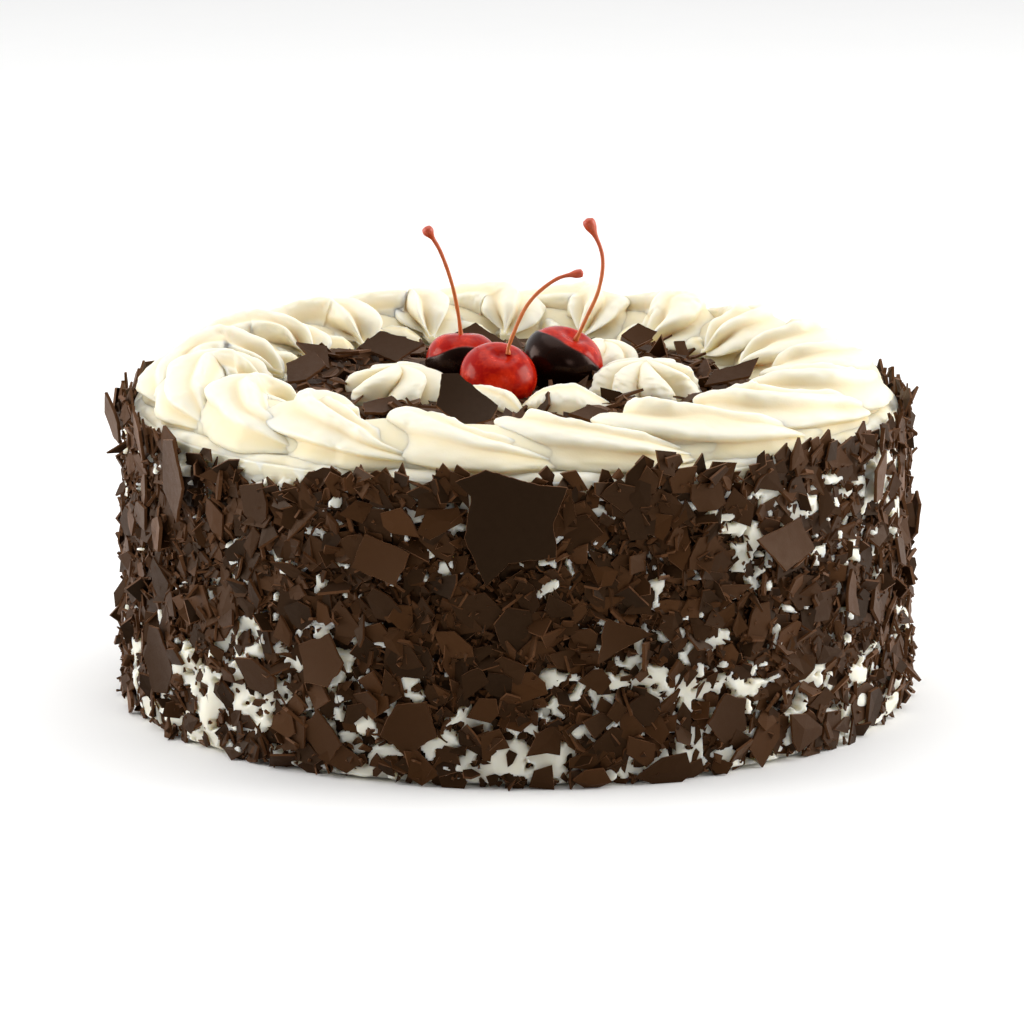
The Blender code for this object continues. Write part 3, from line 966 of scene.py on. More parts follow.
@dataclass
class Rosette:
    """A dollop from the star nozzle.

    Attributes:
        name: which of the three it is.
        centre: x and y of its middle.
        radius: its reach at the foot.
        height: its height.
        lobes: how many lobes the nozzle gives it.
        sharpness: how deep a groove is, as a share of the reach.
        swirl: how far it turns on the way up, in radians.
        seed: picks its unevenness.
        ragged: how far the lobes' edges stray.
        sunk: how deep it is pressed into the cake's top.
    """

    name: str
    centre: tuple[float, float]
    radius: float
    height: float
    lobes: int
    sharpness: float
    swirl: float
    seed: int
    ragged: float = 0.02
    sunk: float = 0.5 * MM

    def skin(self) -> Skin:
        """The dollop. A ring's reach is the radius times a dome, (1 - t^p)^q, less a groove
        1 - |sin(n a / 2)|^0.7 between round lobes; the rings turn as they rise, and the lobes
        stand higher than the grooves.

        Returns:
            The closed skin, with its groove value: painted shade in the grooves and towards its foot.
        """
        t = np.linspace(0, 1, 84)[:, None]
        angle = np.linspace(0, TURN, 144, endpoint=False)[None, :]
        dome = (1 - np.clip(t, 0, 0.9995) ** 2.3) ** 0.55
        foot = 0.86 + 0.14 * smooth_step(0, 0.25, t)
        turned = angle + self.swirl * t**1.5
        circle = np.stack(np.broadcast_arrays(np.cos(angle), np.sin(angle), 2 * t), -1)
        wobble = noise(circle, 0.9, self.seed)
        groove = 1 - np.abs(np.sin(0.5 * self.lobes * angle + 0.5 * wobble)) ** 0.7
        ragged = noise(circle, 0.14, self.seed + 3)
        reach = self.radius * dome * foot * (1 - self.sharpness * groove + 0.06 * wobble)
        reach = reach * (1 + self.ragged * ragged * (1 - groove))
        rise = self.height * (t + 0.16 * (1 - groove) * np.sin(math.pi * t) + 0.04 * wobble * t)
        points = np.stack(
            [
                self.centre[0] + reach * np.cos(turned),
                self.centre[1] + reach * np.sin(turned),
                CAKE_TOP - self.sunk + rise,
            ],
            axis=-1,
        )
        # Painted shade: the groove value is raised in the grooves and over the lowest part of the dollop.
        shade = np.clip(0.7 * groove + 0.3 * (1 - smooth_step(0, 0.4, t)), 0, 1)
        return closed_skin(points, {"groove": shade})

    def build(self, cream: bpy.types.Material) -> None:
        """Makes the rosette."""
        self.skin().build(
            f"piped_rosette_{self.name}", cream, Slot.CREAM, [f"rosette_{self.name}"], PIPED_SMOOTH
        )


@dataclass
class Petal:
    """A short plain stroke between the rosettes.

    Attributes:
        name: which of the two it is.
        rows: x, y, height, half width and half thickness along it, in mm.
        seed: picks its unevenness.
    """

    name: str
    rows: tuple
    seed: int

    def build(self, cream: bpy.types.Material) -> None:
        """Makes the petal."""
        plain = {"ridges": 5, "depth": 0.12, "lobes": 0.0, "stagger": 0.0, "start": 0.35, "end": 0.35}
        skin = Stroke(np.array(self.rows) * MM, self.seed, **plain).skin()
        skin.build(f"piped_petal_{self.name}", cream, Slot.CREAM, [f"petal_{self.name}"], PIPED_SMOOTH)


# ------------------------------------------------------------------ cherries


@dataclass
class Cherry:
    """A cherry with its stalk.

    Attributes:
        name: which of the three it is.
        centre: x and y of its middle.
        radius: half its width.
        height: its height.
        lean: how far the stalk's hollow leans, in degrees.
        heading: the azimuth that it leans to, in degrees.
        dip: the direction of the dipped side and how far the dip reaches, as a cosine.
        stalk: points of the stalk from the hollow on, in mm.
        knob: half the width of the far end, in mm.
        seed: picks its unevenness.
        floor: the height that it sits at.
        hollow: how deep the hollow round the stalk is.
        thin: half the stalk's width at its thinnest.
        coating: how far the chocolate stands proud of the skin.
    """

    name: str
    centre: tuple[float, float]
    radius: float
    height: float
    lean: float
    heading: float
    dip: tuple[float, float, float, float]
    stalk: tuple
    knob: float
    seed: int
    floor: float = 83.3 * MM
    hollow: float = 2.2 * MM
    thin: float = 0.50 * MM
    coating: float = 0.35 * MM

    def axes(self) -> np.ndarray:
        """The cherry's own axes as rows: two across it and one towards the stalk."""
        tilt, heading = math.radians(self.lean), math.radians(self.heading)
        up = np.array(
            [math.sin(tilt) * math.sin(heading), -math.sin(tilt) * math.cos(heading), math.cos(tilt)]
        )
        side = np.cross([0.0, 1.0, 0.0], up)
        side /= np.linalg.norm(side)
        return np.array([side, np.cross(up, side), up])

    def middle(self) -> np.ndarray:
        """The cherry's middle."""
        return np.array([*self.centre, self.floor + self.height / 2])

    def skin(self) -> Skin:
        """The fruit: an ellipsoid a little fuller at the shoulder, less a bell-shaped hollow
        exp(-(r / 0.3)^2) round the stalk, plus slight lumps. The chocolate stands proud of it.
        What would lie under the floor is pressed flat there.

        Returns:
            The closed skin, with its dip value.
        """
        polar = np.linspace(0.03, math.pi - 0.03, 72)[:, None]
        angle = np.linspace(0, TURN, 120, endpoint=False)[None, :]
        reach = np.sin(polar) * (1 + 0.05 * np.cos(polar))
        rise = np.cos(polar) * (1 + 0 * angle)
        unit = np.stack([reach * np.cos(angle), reach * np.sin(angle), rise], -1)
        size = 1 + 0.022 * layered(unit, 0.9, 2, self.seed)
        sunk = self.hollow * np.exp(-((reach / 0.3) ** 2)) * (rise > 0)
        local = unit * [self.radius, self.radius, self.height / 2] * size[..., None]
        local[..., 2] -= sunk
        world = local @ self.axes()
        outward = world / np.linalg.norm(world, axis=-1, keepdims=True)
        toward = np.array(self.dip[:3]) / np.linalg.norm(self.dip[:3])
        line = outward @ toward - self.dip[3] + 0.10 * noise(outward, 0.5, self.seed + 7)
        dip = smooth_step(-0.035, 0.035, line)
        world += outward * (self.coating * dip)[..., None]
        world += self.middle()
        world[..., 2] = np.maximum(world[..., 2], self.floor - 0.2 * MM + 0.01 * rise * MM)
        return closed_skin(world, {"dip": dip})

    def stem(self) -> Skin:
        """The stalk: a tube along a smooth curve, thin in the middle, widening where it grows
        out of the fruit and again into a knob, by exp(-x^2) at each end.

        Returns:
            The closed skin, with its share value.
        """
        line = smooth_path(np.array(self.stalk) * MM, 90)
        share = np.linspace(0, 1, len(line))[:, None]
        along = np.gradient(line, axis=0)
        along /= np.linalg.norm(along, axis=1)[:, None]
        side = np.cross(along, [0.0, 1.0, 0.0])
        side /= np.linalg.norm(side, axis=1)[:, None]
        other = np.cross(along, side)
        angle = np.linspace(0, TURN, 20, endpoint=False)[None, :]
        knob = self.knob * MM - self.thin
        radius = self.thin * (1 + 0.6 * np.exp(-((share / 0.10) ** 2)) + 0.12 * share)
        radius = radius + knob * np.exp(-(((0.96 - share) / 0.06) ** 2))
        radius = radius * np.sqrt(1 - np.clip((share - 0.985) / 0.0155, 0, 0.99) ** 2)
        rough = noise(line[:, None, :] + 0 * angle[..., None], 1.6 * MM, self.seed + 2)
        radius = radius * (1 + 0.10 * rough) * (1 + 0 * angle)
        rings = line[:, None, :] + radius[..., None] * (
            np.cos(angle)[..., None] * side[:, None, :] + np.sin(angle)[..., None] * other[:, None, :]
        )
        return closed_skin(rings, {"share": share * np.ones_like(angle)})

    def build(self, fruit: bpy.types.Material, stalk: bpy.types.Material) -> None:
        """Makes the cherry and its stalk."""
        self.skin().build(f"fruit_{self.name}", fruit, Slot.CHERRY, [f"cherry_{self.name}"], ALL_SMOOTH)
        self.stem().build(
            f"fruit_stalk_{self.name}", stalk, Slot.STALK, [f"stalk_{self.name}"], ALL_SMOOTH
        )


# ------------------------------------------------------------------ chocolate


THIN = (0.4, 0.8)
STOUT = (0.5, 1.0)


@dataclass
class Places:
    """Where flakes lie.

    Attributes:
        middles: their middles, as rows.
        axes: three rows for each flake, two along it and one out of it.
    """

    middles: np.ndarray
    axes: np.ndarray


def tipped_axes(base: list[np.ndarray], lean: np.ndarray, hinge: np.ndarray, spin: np.ndarray) -> np.ndarray:
    """The axes of flakes that lie on a surface, tipped out of it and spun in their own plane.

    Args:
        base: two directions in the surface and the one out of it, by flake.
        lean: how far each flake tips, in radians.
        hinge: the direction in the surface that it tips towards, in radians.
        spin: how far it turns in its own plane, in radians.

    Returns:
        Three axes as rows, by flake.
    """
    forward, up, outward = base
    sine, cosine = (wave(np.array([lean, hinge, spin]))[..., None] for wave in (np.sin, np.cos))
    slope = cosine[1] * forward + sine[1] * up
    level = -sine[1] * forward + cosine[1] * up
    tipped = cosine[0] * slope + sine[0] * outward
    normal = -sine[0] * slope + cosine[0] * outward
    first = cosine[2] * level + sine[2] * tipped
    return np.stack([first, np.cross(normal, first), normal], axis=1)


@dataclass(frozen=True)
class Flakes:
    """Many flat broken flakes of one kind, and how they are strewn.

    Attributes:
        name: the piece's name.
        corners: how many corners an outline has.
        longest: least and most of the longer side, in mm.
        shape: least and most of the shorter side, as a share of the longer one.
        thick: least and most thickness, in mm.
        bend: how far the middle may stand out of the flake's plane, as a share of its length.
        seed: picks the outlines.
        count: the most flakes there can be.
        tilt: their usual tilt out of the surface, in radians.
        lift: least and most height over the cream, in mm.
        bare: the share that is left out where cream shows.
        steep: the share that stands out steeply.
        replaced: the frame's nodes that the piece stands for.
    """

    name: str
    corners: int
    longest: Span
    shape: Span
    thick: Span
    bend: float
    seed: int
    count: int
    tilt: float
    lift: Span
    bare: float = 0.0
    steep: float = 0.0
    replaced: tuple[str, ...] = ()

    def skin(self, places: Places) -> Skin:
        """All the flakes as one skin. An outline's corners lie at uneven angles and reaches
        round an ellipse, on two faces a thickness apart; each face is a fan about its middle.

        Args:
            places: where the flakes lie.

        Returns:
            The skin, with the tone of each flake and its broken edges.
        """
        rng = np.random.default_rng(self.seed)
        count, n = len(places.middles), self.corners
        long = rng.uniform(*self.longest, count) * MM / 2
        short = long * rng.uniform(*self.shape, count)
        angle = (np.arange(n) + rng.uniform(-0.38, 0.38, (count, n))) * TURN / n
        reach = rng.uniform(0.62, 1.25, (count, n))
        across = np.stack([long[:, None] * np.cos(angle), short[:, None] * np.sin(angle)], -1)
        across = np.concatenate([across * reach[..., None], np.zeros((count, 1, 2))], axis=1)
        half = rng.uniform(*self.thick, count)[:, None] * MM / 2
        warp = np.zeros((count, n + 1))
        warp[:, n:] = rng.normal(0, self.bend, (count, 1))
        warp = (warp + rng.normal(0, 0.012, (count, n + 1))) * long[:, None]
        faces = [np.concatenate([across, (warp + side * half)[..., None]], -1) for side in (1, -1)]
        local = np.concatenate(faces, axis=1)
        points = places.middles[:, None, :] + np.einsum("fpk,fkx->fpx", local, places.axes)
        points[..., 2] = np.maximum(points[..., 2], 0.05 * MM + 0.02 * np.abs(points[..., 2]))
        under = n + 1
        i, j, middle = np.arange(n), (np.arange(n) + 1) % n, np.full(n, n)
        fan = np.vstack([np.column_stack([i, j, middle]), np.column_stack([j, i, middle]) + under])
        rim = np.column_stack([j, i, i + under, j + under])
        start = (np.arange(count) * 2 * under)[:, None, None]
        quads = (start + rim).reshape(-1, 4)
        tone = np.repeat(rng.beta(1.1, 1.5, count), 2 * under)
        triangles = (start + fan).reshape(-1, 3)
        return Skin(points.reshape(-1, 3), quads, triangles, {"tone": tone}, np.arange(len(quads)))

    def build(self, places: Places, chocolate: bpy.types.Material) -> None:
        """Makes the flakes on their places."""
        self.skin(places).build(self.name, chocolate, Slot.CHOCOLATE, list(self.replaced))


@dataclass
class SideCoat:
    """The flakes pressed into the cream round the side.

    Attributes:
        faces: what the large shards cover, where the flakes leave room.
        smears: the cream that shows between the flakes.
        top: the usual height of its upper edge.
        bare_deg: the azimuth where that edge dips.
        seed: picks the places.
    """

    faces: list[tuple[float, float, float, float]]
    smears: CreamSmears = field(default_factory=CreamSmears)
    top: float = 81.0 * MM
    bare_deg: float = -40.0
    seed: int = 21

    def edge(self, azimuth: np.ndarray) -> np.ndarray:
        """The ragged upper limit of the coat: wavy all round, with a bare dip at the left."""
        ring = around(azimuth, SIDE_RADIUS, 0.0)
        bare = np.exp(-(((np.degrees(azimuth) - self.bare_deg) / 8) ** 2))
        wave = 1.6 * noise(ring, 14 * MM, 5) + 1.4 * noise(ring, 5 * MM, 6)
        return self.top + wave * MM - 5.0 * MM * bare

    def spots(self, rng: np.random.Generator, count: int, bare: float) -> np.ndarray:
        """Random places on the side, thinned out where the cream shows through.

        Args:
            rng: the random source.
            count: how many places to return.
            bare: the share that is left out where cream shows.

        Returns:
            Rows of azimuth and height.
        """
        tries = 4 * count
        azimuth = rng.uniform(-math.pi, math.pi, tries)
        height = rng.uniform(0, 1, tries) * (self.edge(azimuth) - 1 * MM) + 1 * MM
        keep = 1 - bare * smooth_step(-0.02, 0.14, self.smears.level(azimuth, height))
        for middle, level, arc, half in self.faces:
            across = np.angle(np.exp(1j * (azimuth - middle))) / arc
            inside = across**2 + ((height - level) / half) ** 2
            keep = np.where(inside < 0.62, 0, keep)
        chosen = np.flatnonzero(rng.random(tries) < keep)[:count]
        return np.column_stack([azimuth[chosen], height[chosen]])

    def rim_spots(self, rng: np.random.Generator, count: int) -> np.ndarray:
        """Places along the upper edge, where flakes stand up against the border's foot.

        Args:
            rng: the random source.
            count: how many places to try.

        Returns:
            Rows of azimuth and height.
        """
        azimuth = rng.uniform(-math.pi, math.pi, count)
        ring = around(azimuth, SIDE_RADIUS, 0.0)
        bare = np.abs(np.degrees(azimuth) - self.bare_deg) < 9
        kept = (noise(ring, 9 * MM, 12) > -0.35) & ~bare
        height = self.edge(azimuth) + rng.uniform(-2.5, 3.6, count) * MM
        return np.column_stack([azimuth[kept], height[kept]])

    def places(self, spots: np.ndarray, rng: np.random.Generator, kind: Flakes) -> Places:
        """Lays a flake on each spot, further out where it lies on a smear of cream.

        Args:
            spots: rows of azimuth and height.
            rng: the random source.
            kind: the flakes.

        Returns:
            The places.
        """
        count = len(spots)
        azimuth, height = spots.T
        outward = around(azimuth, 1.0, 0.0)
        forward = np.stack([np.cos(azimuth), np.sin(azimuth), 0 * azimuth], -1)
        up = np.broadcast_to([0.0, 0.0, 1.0], outward.shape)
        lean = np.abs(rng.normal(0, kind.tilt, count))
        stands = rng.random(count) < kind.steep
        lean = np.where(stands, rng.uniform(0.6, 1.35, count), lean)
        hinge = rng.uniform(0, TURN, count)
        spin = rng.uniform(0, TURN, count)
        low, high = kind.lift
        radius = side_radius(SIDE_RADIUS, height) + rng.uniform(low * MM, high * MM, count)
        smeared = smooth_step(0, 0.24, self.smears.level(azimuth, height))
        radius += 0.20 * self.smears.thick * smeared
        return Places(around(azimuth, radius, height), tipped_axes([forward, up, outward], lean, hinge, spin))

    def build(self, chocolate: bpy.types.Material) -> None:
        """Makes the coat, one piece for each kind of flake, and the flakes on its rim."""
        rng = np.random.default_rng(self.seed)
        for kind in COAT_FLAKES:
            spots = self.spots(rng, kind.count, kind.bare)
            kind.build(self.places(spots, rng, kind), chocolate)
        spots = self.rim_spots(rng, RIM_FLAKES.count)
        RIM_FLAKES.build(self.places(spots, rng, RIM_FLAKES), chocolate)


@dataclass
class CoatGround:
    """The fine crumbs between the flakes, as one rough sleeve under them, kept darker than the flakes as
    painted shade in the gaps.

    Attributes:
        coat: the coat whose upper edge it keeps to.
        radius: the side's radius, to the middle of the roughness.
        hidden: how deep its lower and upper edges lie.
        inside: how deep its inner face lies.
        rows: how many rings it has.
        around_count: how many points a ring has.
        seed: picks its roughness.
    """

    coat: SideCoat
    radius: float = 107.1 * MM
    hidden: float = 1.4 * MM
    inside: float = 3.0 * MM
    rows: int = 84
    around_count: int = 960
    seed: int = 37

    def skin(self) -> Skin:
        """A thin closed sleeve whose outer face stands out and in by two fine noises, and sinks
        into the cream at its ragged upper edge.

        Returns:
            The skin, with its tone, which is painted shade, and its share of broken edge.
        """
        azimuth = np.linspace(-math.pi, math.pi, self.around_count, endpoint=False)[None, :]
        share = np.linspace(0, 1, self.rows)[:, None]
        height = 0.6 * MM + share * (self.coat.edge(azimuth) - 2.6 * MM)
        flat = around(azimuth, self.radius, height)
        lumps = 0.9 * noise(flat, 2.6 * MM, self.seed) + 0.7 * noise(flat, 1.3 * MM, self.seed + 1)
        fade = smooth_step(0, 0.03, share) * (1 - smooth_step(0.96, 1.0, share))
        out = (lumps * MM + self.hidden) * fade - self.hidden
        outer = around(azimuth, side_radius(self.radius, height) + out, height)
        inner = around(azimuth, self.radius - self.inside, height[[-1, 0]])
        # Painted shade: a low tone, darker still in the dips of the lumps, so the gaps between the flakes
        # read as shaded.
        tone = np.clip(0.12 + 0.2 * lumps, 0, 1)
        tones = np.vstack([tone, np.full((2, self.around_count), 0.3)])
        return ring_skin(np.vstack([outer, inner]), {"tone": tones, "broken": 0 * tones})

    def build(self, chocolate: bpy.types.Material) -> None:
        """Makes the sleeve."""
        self.skin().build("coat_ground", chocolate, Slot.CHOCOLATE, [], 40)


@dataclass
class TopBed:
    """The shavings strewn inside the border, heaped up beside the cherries.

    Attributes:
        keep_clear: x, y and radius of what stands on the bed.
        radius: its reach.
        seed: picks the places.
    """

    keep_clear: list[tuple[float, float, float]]
    radius: float = 63.0 * MM
    seed: int = 31

    def places(self, rng: np.random.Generator, kind: Flakes) -> Places:
        """Strews flakes over the disc, more or less flat, in a layer that is deeper in places.

        Args:
            rng: the random source.
            kind: the flakes.

        Returns:
            The places.
        """
        count = kind.count
        radius = self.radius * np.sqrt(rng.random(2 * count))
        azimuth = rng.uniform(0, TURN, 2 * count)
        spot = around(azimuth, radius, 0.0)
        centres = np.array(self.keep_clear)
        gaps = np.linalg.norm(spot[:, None, :2] - centres[None, :, :2], axis=-1) - centres[:, 2]
        chosen = np.flatnonzero(gaps.min(axis=1) > 0)[:count]
        spot, radius, count = spot[chosen], radius[chosen], len(chosen)
        heap = 0.35 + 0.65 * smooth_step(15 * MM, 35 * MM, np.abs(spot[:, 0]))
        heap = heap * (0.8 + 0.4 * noise(spot, 16 * MM, 9)) * (1 - 0.6 * (radius / self.radius) ** 6)
        low, high = kind.lift
        height = CAKE_TOP + low * MM + (high - low) * MM * heap * rng.random(count) ** 0.8
        lean = np.abs(rng.normal(0, kind.tilt, count))
        hinge, spin = rng.uniform(0, TURN, (2, count))
        middles = spot + np.stack([0 * height, 0 * height, height], -1)
        return Places(middles, tipped_axes(list(np.eye(3)), lean, hinge, spin))

    def build(self, chocolate: bpy.types.Material) -> None:
        """Makes the shavings, one piece for each kind."""
        rng = np.random.default_rng(self.seed)
        for kind in BED_FLAKES:
            kind.build(self.places(rng, kind), chocolate)


def node_points(node: str) -> np.ndarray:
    """The corners of one of the frame's nodes, as rows."""
    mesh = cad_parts[node].data
    flat = np.empty(3 * len(mesh.vertices))
    mesh.vertices.foreach_get("co", flat)
    return flat.reshape(-1, 3)


def covered_face(node: str) -> tuple[float, float, float, float]:
    """Where a shard covers the cake's side.

    Args:
        node: the shard's name in the frame.

    Returns:
        The azimuth and height of its middle, half its arc as an angle, and half its height.
    """
    x, y, z = node_points(node).T
    azimuth = math.atan2(x.mean(), -y.mean())
    arc = np.angle(np.exp(1j * (np.arctan2(x, -y) - azimuth)))
    return azimuth, (z.min() + z.max()) / 2, np.ptp(arc) / 2, np.ptp(z) / 2


@dataclass
class Shard:
    """One large broken plate, shaped after its solid in the frame.

    Attributes:
        node: the solid's name.
        bow: how far the plate bows, as a share of its length.
        seed: picks its broken edge.
        shades: the range of its brown, from 0 for dark to 1 for pale.
        step: how long a step of the broken edge is.
        rings: how many rings each face has.
    """

    node: str
    bow: float
    seed: int
    shades: Span = (0.25, 0.6)
    step: float = 0.7 * MM
    rings: int = 7

    def outline(self) -> tuple[np.ndarray, np.ndarray, np.ndarray, float]:
        """Reads the plate from the frame: the thin direction is that of least spread.

        Returns:
            Its middle, its axes as rows, its outline in the plate's own plane, and its thickness.
        """
        corners = np.unique(np.round(node_points(self.node), 6), axis=0)
        middle = corners.mean(axis=0)
        axes = np.linalg.svd(corners - middle)[2]
        if np.dot(axes[2], middle - [0, 0, 40 * MM]) < 0:
            axes[2] *= -1
        axes[1] = np.cross(axes[2], axes[0])
        local = (corners - middle) @ axes.T
        front = local[local[:, 2] > 0]
        front = front[np.argsort(np.arctan2(front[:, 1], front[:, 0]))]
        return middle, axes, front[:, :2], float(np.ptp(local[:, 2]))

    def skin(self) -> Skin:
        """The plate. Its outline is cut into short steps moved by fracture noise; the rings run
        from the front's middle to its edge, over the rim and back; the whole is bowed by the
        square of the distance along one direction.

        Returns:
            The closed skin, with its tone.
        """
        rng = np.random.default_rng(self.seed)
        middle, axes, corners, thickness = self.outline()
        edge = []
        for a, b in zip(corners, np.roll(corners, -1, axis=0)):
            steps = max(2, int(np.linalg.norm(b - a) / self.step))
            share = (np.arange(steps) / steps)[:, None]
            edge.append(a + (b - a) * share)
        edge = np.vstack(edge)
        away = edge / np.linalg.norm(edge, axis=1)[:, None]
        flat = np.column_stack([edge, np.zeros(len(edge))])
        rough = 0.35 * noise(flat, 3.2 * MM, self.seed) + 0.16 * noise(flat, 1.1 * MM, self.seed + 1)
        edge = edge + away * (rough * MM)[:, None]
        inner = np.linspace(0.05, 1, self.rings)
        half = thickness / 2 * 0.75
        inset = 1 - 0.12 * MM / np.linalg.norm(edge, axis=1)
        drawn_in = np.concatenate([inner[:-1], [1, 1, 1, 1], inner[-2::-1]])[:, None]
        worn = np.zeros(len(drawn_in))
        worn[self.rings - 1 : self.rings + 3] = (1.0, 0.0, 0.6, 1.5)
        flats = edge * (drawn_in * inset ** worn[:, None])[..., None]
        level = np.concatenate([np.ones(self.rings), [0.45, -0.5], -np.ones(self.rings)])
        heights = half * level[:, None] * np.ones(len(edge))
        heading = rng.uniform(0, math.pi)
        size = np.abs(corners).max()
        along = (flats @ [math.cos(heading), math.sin(heading)]) / size
        wave = noise(np.concatenate([flats, 0 * flats[..., :1]], -1), 9 * MM, self.seed + 4)
        heights = heights + self.bow * size * (along**2 - 0.3) + 0.15 * MM * wave
        local = np.concatenate([flats, heights[..., None]], axis=-1)
        tone = np.full(local.shape[:2], rng.uniform(*self.shades))
        skin = closed_skin(middle + local @ axes, {"tone": tone})
        first = self.rings - 1
        skin.broken = np.arange(first * len(edge), (first + 3) * len(edge))
        return skin

    def build(self, chocolate: bpy.types.Material) -> None:
        """Makes the shard."""
        self.skin().build(f"plate_{self.node}", chocolate, Slot.CHOCOLATE, [self.node], 35)


# ------------------------------------------------------------------ studio


@dataclass(frozen=True)
class Lamp:
    """One square soft light that faces the cake.

    Attributes:
        name: the light's name.
        place: where it hangs.
        size: its side.
        power: its power in watts.
        tint: its colour.
        aim_height: the height on the cake's axis that it is turned to.
    """

    name: str
    place: tuple[float, float, float]
    size: float
    power: float
    tint: Colour = (1.0, 1.0, 1.0)
    aim_height: float = 0.05

    def hang(self) -> None:
        """Hangs the light, turned to the cake."""
        data = bpy.data.lights.new(self.name, "AREA")
        data.shape, data.size, data.energy, data.color = "SQUARE", self.size, self.power, self.tint
        lamp = bpy.data.objects.new(self.name, data)
        aim = np.array([0, 0, self.aim_height]) - self.place
        yaw = math.atan2(aim[1], aim[0]) - math.pi / 2
        tip = math.atan2(math.hypot(aim[0], aim[1]), -aim[2])
        lamp.location, lamp.rotation_euler = self.place, (tip, 0, yaw)
        bpy.context.scene.collection.objects.link(lamp)


SOFT_WHITE = (1.0, 0.99, 0.97)
LAMPS = (
    Lamp("left_light", (-1.25, 0.05, 0.50), 0.8, 13.5, SOFT_WHITE),
    Lamp("right_light", (1.25, 0.10, 0.55), 0.8, 15.0, SOFT_WHITE),
    Lamp("top_light", (0.0, 0.25, 1.5), 1.3, 8.5),
    Lamp("window_light", (0.50, -1.10, 0.60), 0.35, 1.2),
)


@dataclass
class Studio:
    """The camera, the floor and the lights.

    Attributes:
        place: where the camera stands.
        pitch_deg: how far it looks down.
        lens: its focal length in mm, on a sensor 36 mm wide.
        floor_reach: half the floor's width.
        dim: the surroundings' colour on the camera's side.
        bright: their colour on the other sides.
        strength: how bright they are.
    """

    place: tuple[float, float, float] = (-1.1 * MM, -1.530, 0.402)
    pitch_deg: float = 12.97
    lens: float = 195.9
    floor_reach: float = 8.0
    dim: Colour = (0.10, 0.10, 0.102)
    bright: Colour = (1.15, 1.15, 1.155)
    strength: float = 0.85

    def camera(self) -> None:
        """Sets the camera in front of the cake, looking a little down."""
        data = bpy.data.cameras.new("camera")
        data.lens, data.sensor_width = self.lens, 36.0
        data.clip_start, data.clip_end = 0.05, 50.0
        camera = bpy.data.objects.new("camera", data)
        camera.location = self.place
        camera.rotation_euler = (math.radians(90 - self.pitch_deg), 0, 0)
        bpy.context.scene.collection.objects.link(camera)
        bpy.context.scene.camera = camera

    def floor(self) -> None:
        """Lays the floor as a square grid."""
        x, y = np.meshgrid(*2 * [np.linspace(-self.floor_reach, self.floor_reach, 9)])
        numbers = np.arange(x.size).reshape(x.shape)
        corners = [numbers[:-1, :-1], numbers[:-1, 1:], numbers[1:, 1:], numbers[1:, :-1]]
        quads = np.stack(corners, -1).reshape(-1, 4)
        mesh = bpy.data.meshes.new("floor")
        mesh.from_pydata(np.stack([x, y, 0 * x], -1).reshape(-1, 3).tolist(), [], quads.tolist())
        mesh.materials.append(FloorFinish().material())
        floor = bpy.data.objects.new("floor", mesh)
        bpy.context.scene.collection.objects.link(floor)

    def world(self) -> None:
        """A pale surrounding that is dimmer on the camera's side."""
        world = bpy.data.worlds.new("world")
        world.use_nodes = True
        desk = Desk(world.node_tree)
        back = world.node_tree.nodes["Background"]
        side = desk.add("ShaderNodeTexCoord").outputs["Generated"]
        split = desk.add("ShaderNodeSeparateXYZ", {0: side})
        glow = desk.remap(split.outputs["Y"], (-0.9, 0.2), (0.0, 1.0))
        world.node_tree.links.new(desk.blend(glow, self.dim, self.bright), back.inputs["Color"])
        back.inputs["Strength"].default_value = self.strength
        bpy.context.scene.world = world

    def build(self) -> None:
        """Sets the whole studio."""
        self.camera()
        self.floor()
        for lamp in LAMPS:
            lamp.hang()
        self.world()
        bpy.context.scene.view_settings.view_transform = "Standard"


# ------------------------------------------------------------------ the whole


ROSETTES = (
    Rosette("left", (-32.5 * MM, -21.0 * MM), 16.6 * MM, 12.8 * MM, 6, 0.46, 0.9, 71),
    Rosette("right", (36.0 * MM, -15.0 * MM), 16.6 * MM, 12.8 * MM, 8, 0.32, -0.5, 72, ragged=0.05),
    Rosette("back", (25.0 * MM, 25.0 * MM), 10.8 * MM, 10.5 * MM, 6, 0.08, 0.6, 73),
)

PETALS = (
    Petal(
        "front",
        (
            (0.5, -34, 1.0, 3.6, 4.4),
            (8.0, -35, 2.2, 6.8, 6.2),
            (17.0, -36, 2.4, 8.0, 6.6),
            (29.0, -35, 1.4, 6.5, 5.4),
        ),
        90,
    ),
    Petal(
        "middle",
        (
            (-15.0, -26, 6.4, 1.6, 1.6),
            (-9.0, -30, 5.0, 3.2, 3.2),
            (-3.0, -35, 3.2, 4.4, 4.2),
            (2.0, -41, 2.0, 4.0, 4.0),
        ),
        91,
    ),
)

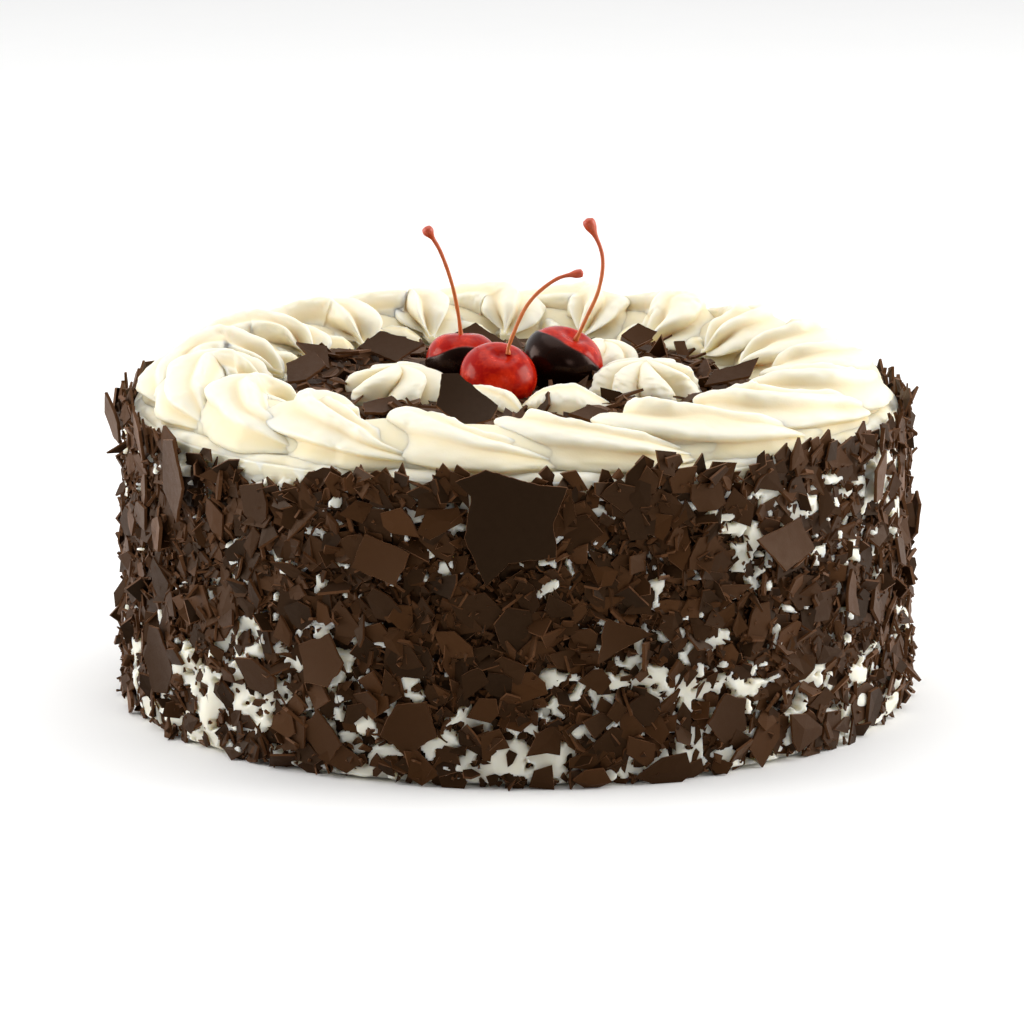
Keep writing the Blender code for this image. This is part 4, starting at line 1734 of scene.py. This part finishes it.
CHERRIES = (
    Cherry(
        name="middle",
        centre=(-5.0 * MM, -16.5 * MM),
        radius=10.7 * MM,
        height=17.4 * MM,
        lean=26,
        heading=20,
        dip=(0.10, -0.1, -1.0, 0.80),
        stalk=(
            (-2.2, -18.2, 98.6),
            (-1.6, -18.0, 102.0),
            (3.4, -16.5, 112.5),
            (11.0, -15.0, 119.0),
            (18.6, -14.2, 120.8),
        ),
        knob=1.2,
        seed=81,
    ),
    Cherry(
        name="left",
        centre=(-15.2 * MM, 5.6 * MM),
        radius=10.2 * MM,
        height=17.2 * MM,
        lean=8,
        heading=180,
        dip=(0.18, -0.30, -0.86, -0.20),
        stalk=(
            (-15.3, 6.2, 98.0),
            (-16.2, 5.4, 105.5),
            (-18.0, 4.0, 114.5),
            (-21.2, 2.0, 124.0),
            (-25.2, 0.0, 131.0),
        ),
        knob=1.5,
        seed=82,
    ),
    Cherry(
        name="right",
        centre=(13.2 * MM, 0.6 * MM),
        radius=11.4 * MM,
        height=18.8 * MM,
        lean=24,
        heading=60,
        dip=(-0.55, -0.32, -0.77, -0.30),
        stalk=(
            (16.6, -1.2, 99.0),
            (19.6, -1.6, 105.5),
            (23.2, -1.4, 114.0),
            (24.0, -1.0, 123.5),
            (19.8, -0.6, 133.6),
        ),
        knob=1.7,
        seed=83,
    ),
)

COAT_FLAKES = (
    Flakes("coat_crumbs", 3, (1, 3), (0.5, 0.9), THIN, 0.0, 51, 7000, 0.45, (0.0, 3.8), 0.80, 0.20),
    Flakes(
        "coat_flakes_small", 5, (3, 6.5), (0.45, 0.9), THIN, 0.02, 52, 3800, 0.42, (0.2, 2.6), 0.82, 0.14,
        replaced=("flake_coat",),
    ),
    Flakes("coat_chips_small", 4, (3, 7), (0.4, 0.9), THIN, 0.02, 55, 3400, 0.45, (0.2, 2.8), 0.82, 0.16),
    Flakes(
        "coat_flakes_medium", 5, (6.5, 11.5), (0.5, 0.9), STOUT, 0.03, 53, 1300, 0.32, (1, 3.2), 0.75, 0.10
    ),
    Flakes("coat_chips_medium", 4, (7, 13), (0.45, 0.8), STOUT, 0.03, 56, 900, 0.34, (1, 3.4), 0.75, 0.12),
    Flakes("coat_flakes_large", 6, (11, 16), (0.6, 0.95), STOUT, 0.04, 57, 190, 0.16, (2, 3.8), 0.70, 0.0),
    Flakes("coat_slivers", 4, (5, 10), (0.14, 0.28), THIN, 0.05, 54, 260, 0.40, (0.8, 3.0), 0.80, 0.30),
)
RIM_FLAKES = Flakes(
    "coat_flakes_rim", 4, (5, 11), (0.5, 0.9), STOUT, 0.04, 58, 420, 0.30, (1.2, 3.2), steep=0.05
)
BED_FLAKES = (
    Flakes("bed_crumbs", 3, (1, 3), (0.5, 0.9), THIN, 0.0, 61, 2500, 0.50, (0.5, 3.5)),
    Flakes(
        "bed_flakes_small", 5, (3.5, 7), (0.45, 0.9), THIN, 0.03, 62, 1200, 0.50, (0.5, 6.5),
        replaced=("shavings_bed",),
    ),
    Flakes("bed_flakes_medium", 5, (7, 13), (0.45, 0.85), STOUT, 0.05, 63, 420, 0.45, (0.5, 8.5)),
    Flakes("bed_chips_large", 4, (10, 18), (0.35, 0.7), STOUT, 0.08, 64, 120, 0.50, (0.5, 10.0)),
)
SHARD_BOWS = (0.12, 0.06, 0.06)
# These two face the front, out of the side lights; their brown is kept dark as painted shade.
FRONT_SHADED_SHARDS = ("shard_front_plate", "topping_window")
FRONT_SHADE_TONES = (0.0, 0.1)
# How much of its own radius a rosette or a cherry keeps clear of shavings.
ROSETTE_ROOM = 0.9
CHERRY_ROOM = 0.8


def main() -> None:
    """Builds the cake, sets the studio and notes the sizes."""
    logging.basicConfig(level=logging.INFO, format="%(message)s")
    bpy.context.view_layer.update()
    cream = CreamFinish().material()
    chocolate = ChocolateFinish().material()
    fruit, stalk = CherryFinish().material(), StalkFinish().material()
    CreamBody().build(cream)
    CreamSmears().build(cream)
    Border().build(cream)
    for piped in (*ROSETTES, *PETALS):
        piped.build(cream)
    for cherry in CHERRIES:
        cherry.build(fruit, stalk)
    large = sorted(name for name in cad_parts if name.startswith(("shard_", "topping_")))
    coat = SideCoat([covered_face(name) for name in large if name.startswith("shard_")])
    CoatGround(coat).build(chocolate)
    coat.build(chocolate)
    clear = [(*rosette.centre, ROSETTE_ROOM * rosette.radius) for rosette in ROSETTES]
    clear += [(*cherry.centre, CHERRY_ROOM * cherry.radius) for cherry in CHERRIES]
    TopBed(clear).build(chocolate)
    for number, name in enumerate(large):
        # The two front shards take the dark tones as painted shade.
        shades = FRONT_SHADE_TONES if name in FRONT_SHADED_SHARDS else Shard.shades
        bow = SHARD_BOWS[number % len(SHARD_BOWS)]
        Shard(name, bow, 200 + 7 * number, shades).build(chocolate)
    Studio().build()


if __name__ == "__main__":
    main()
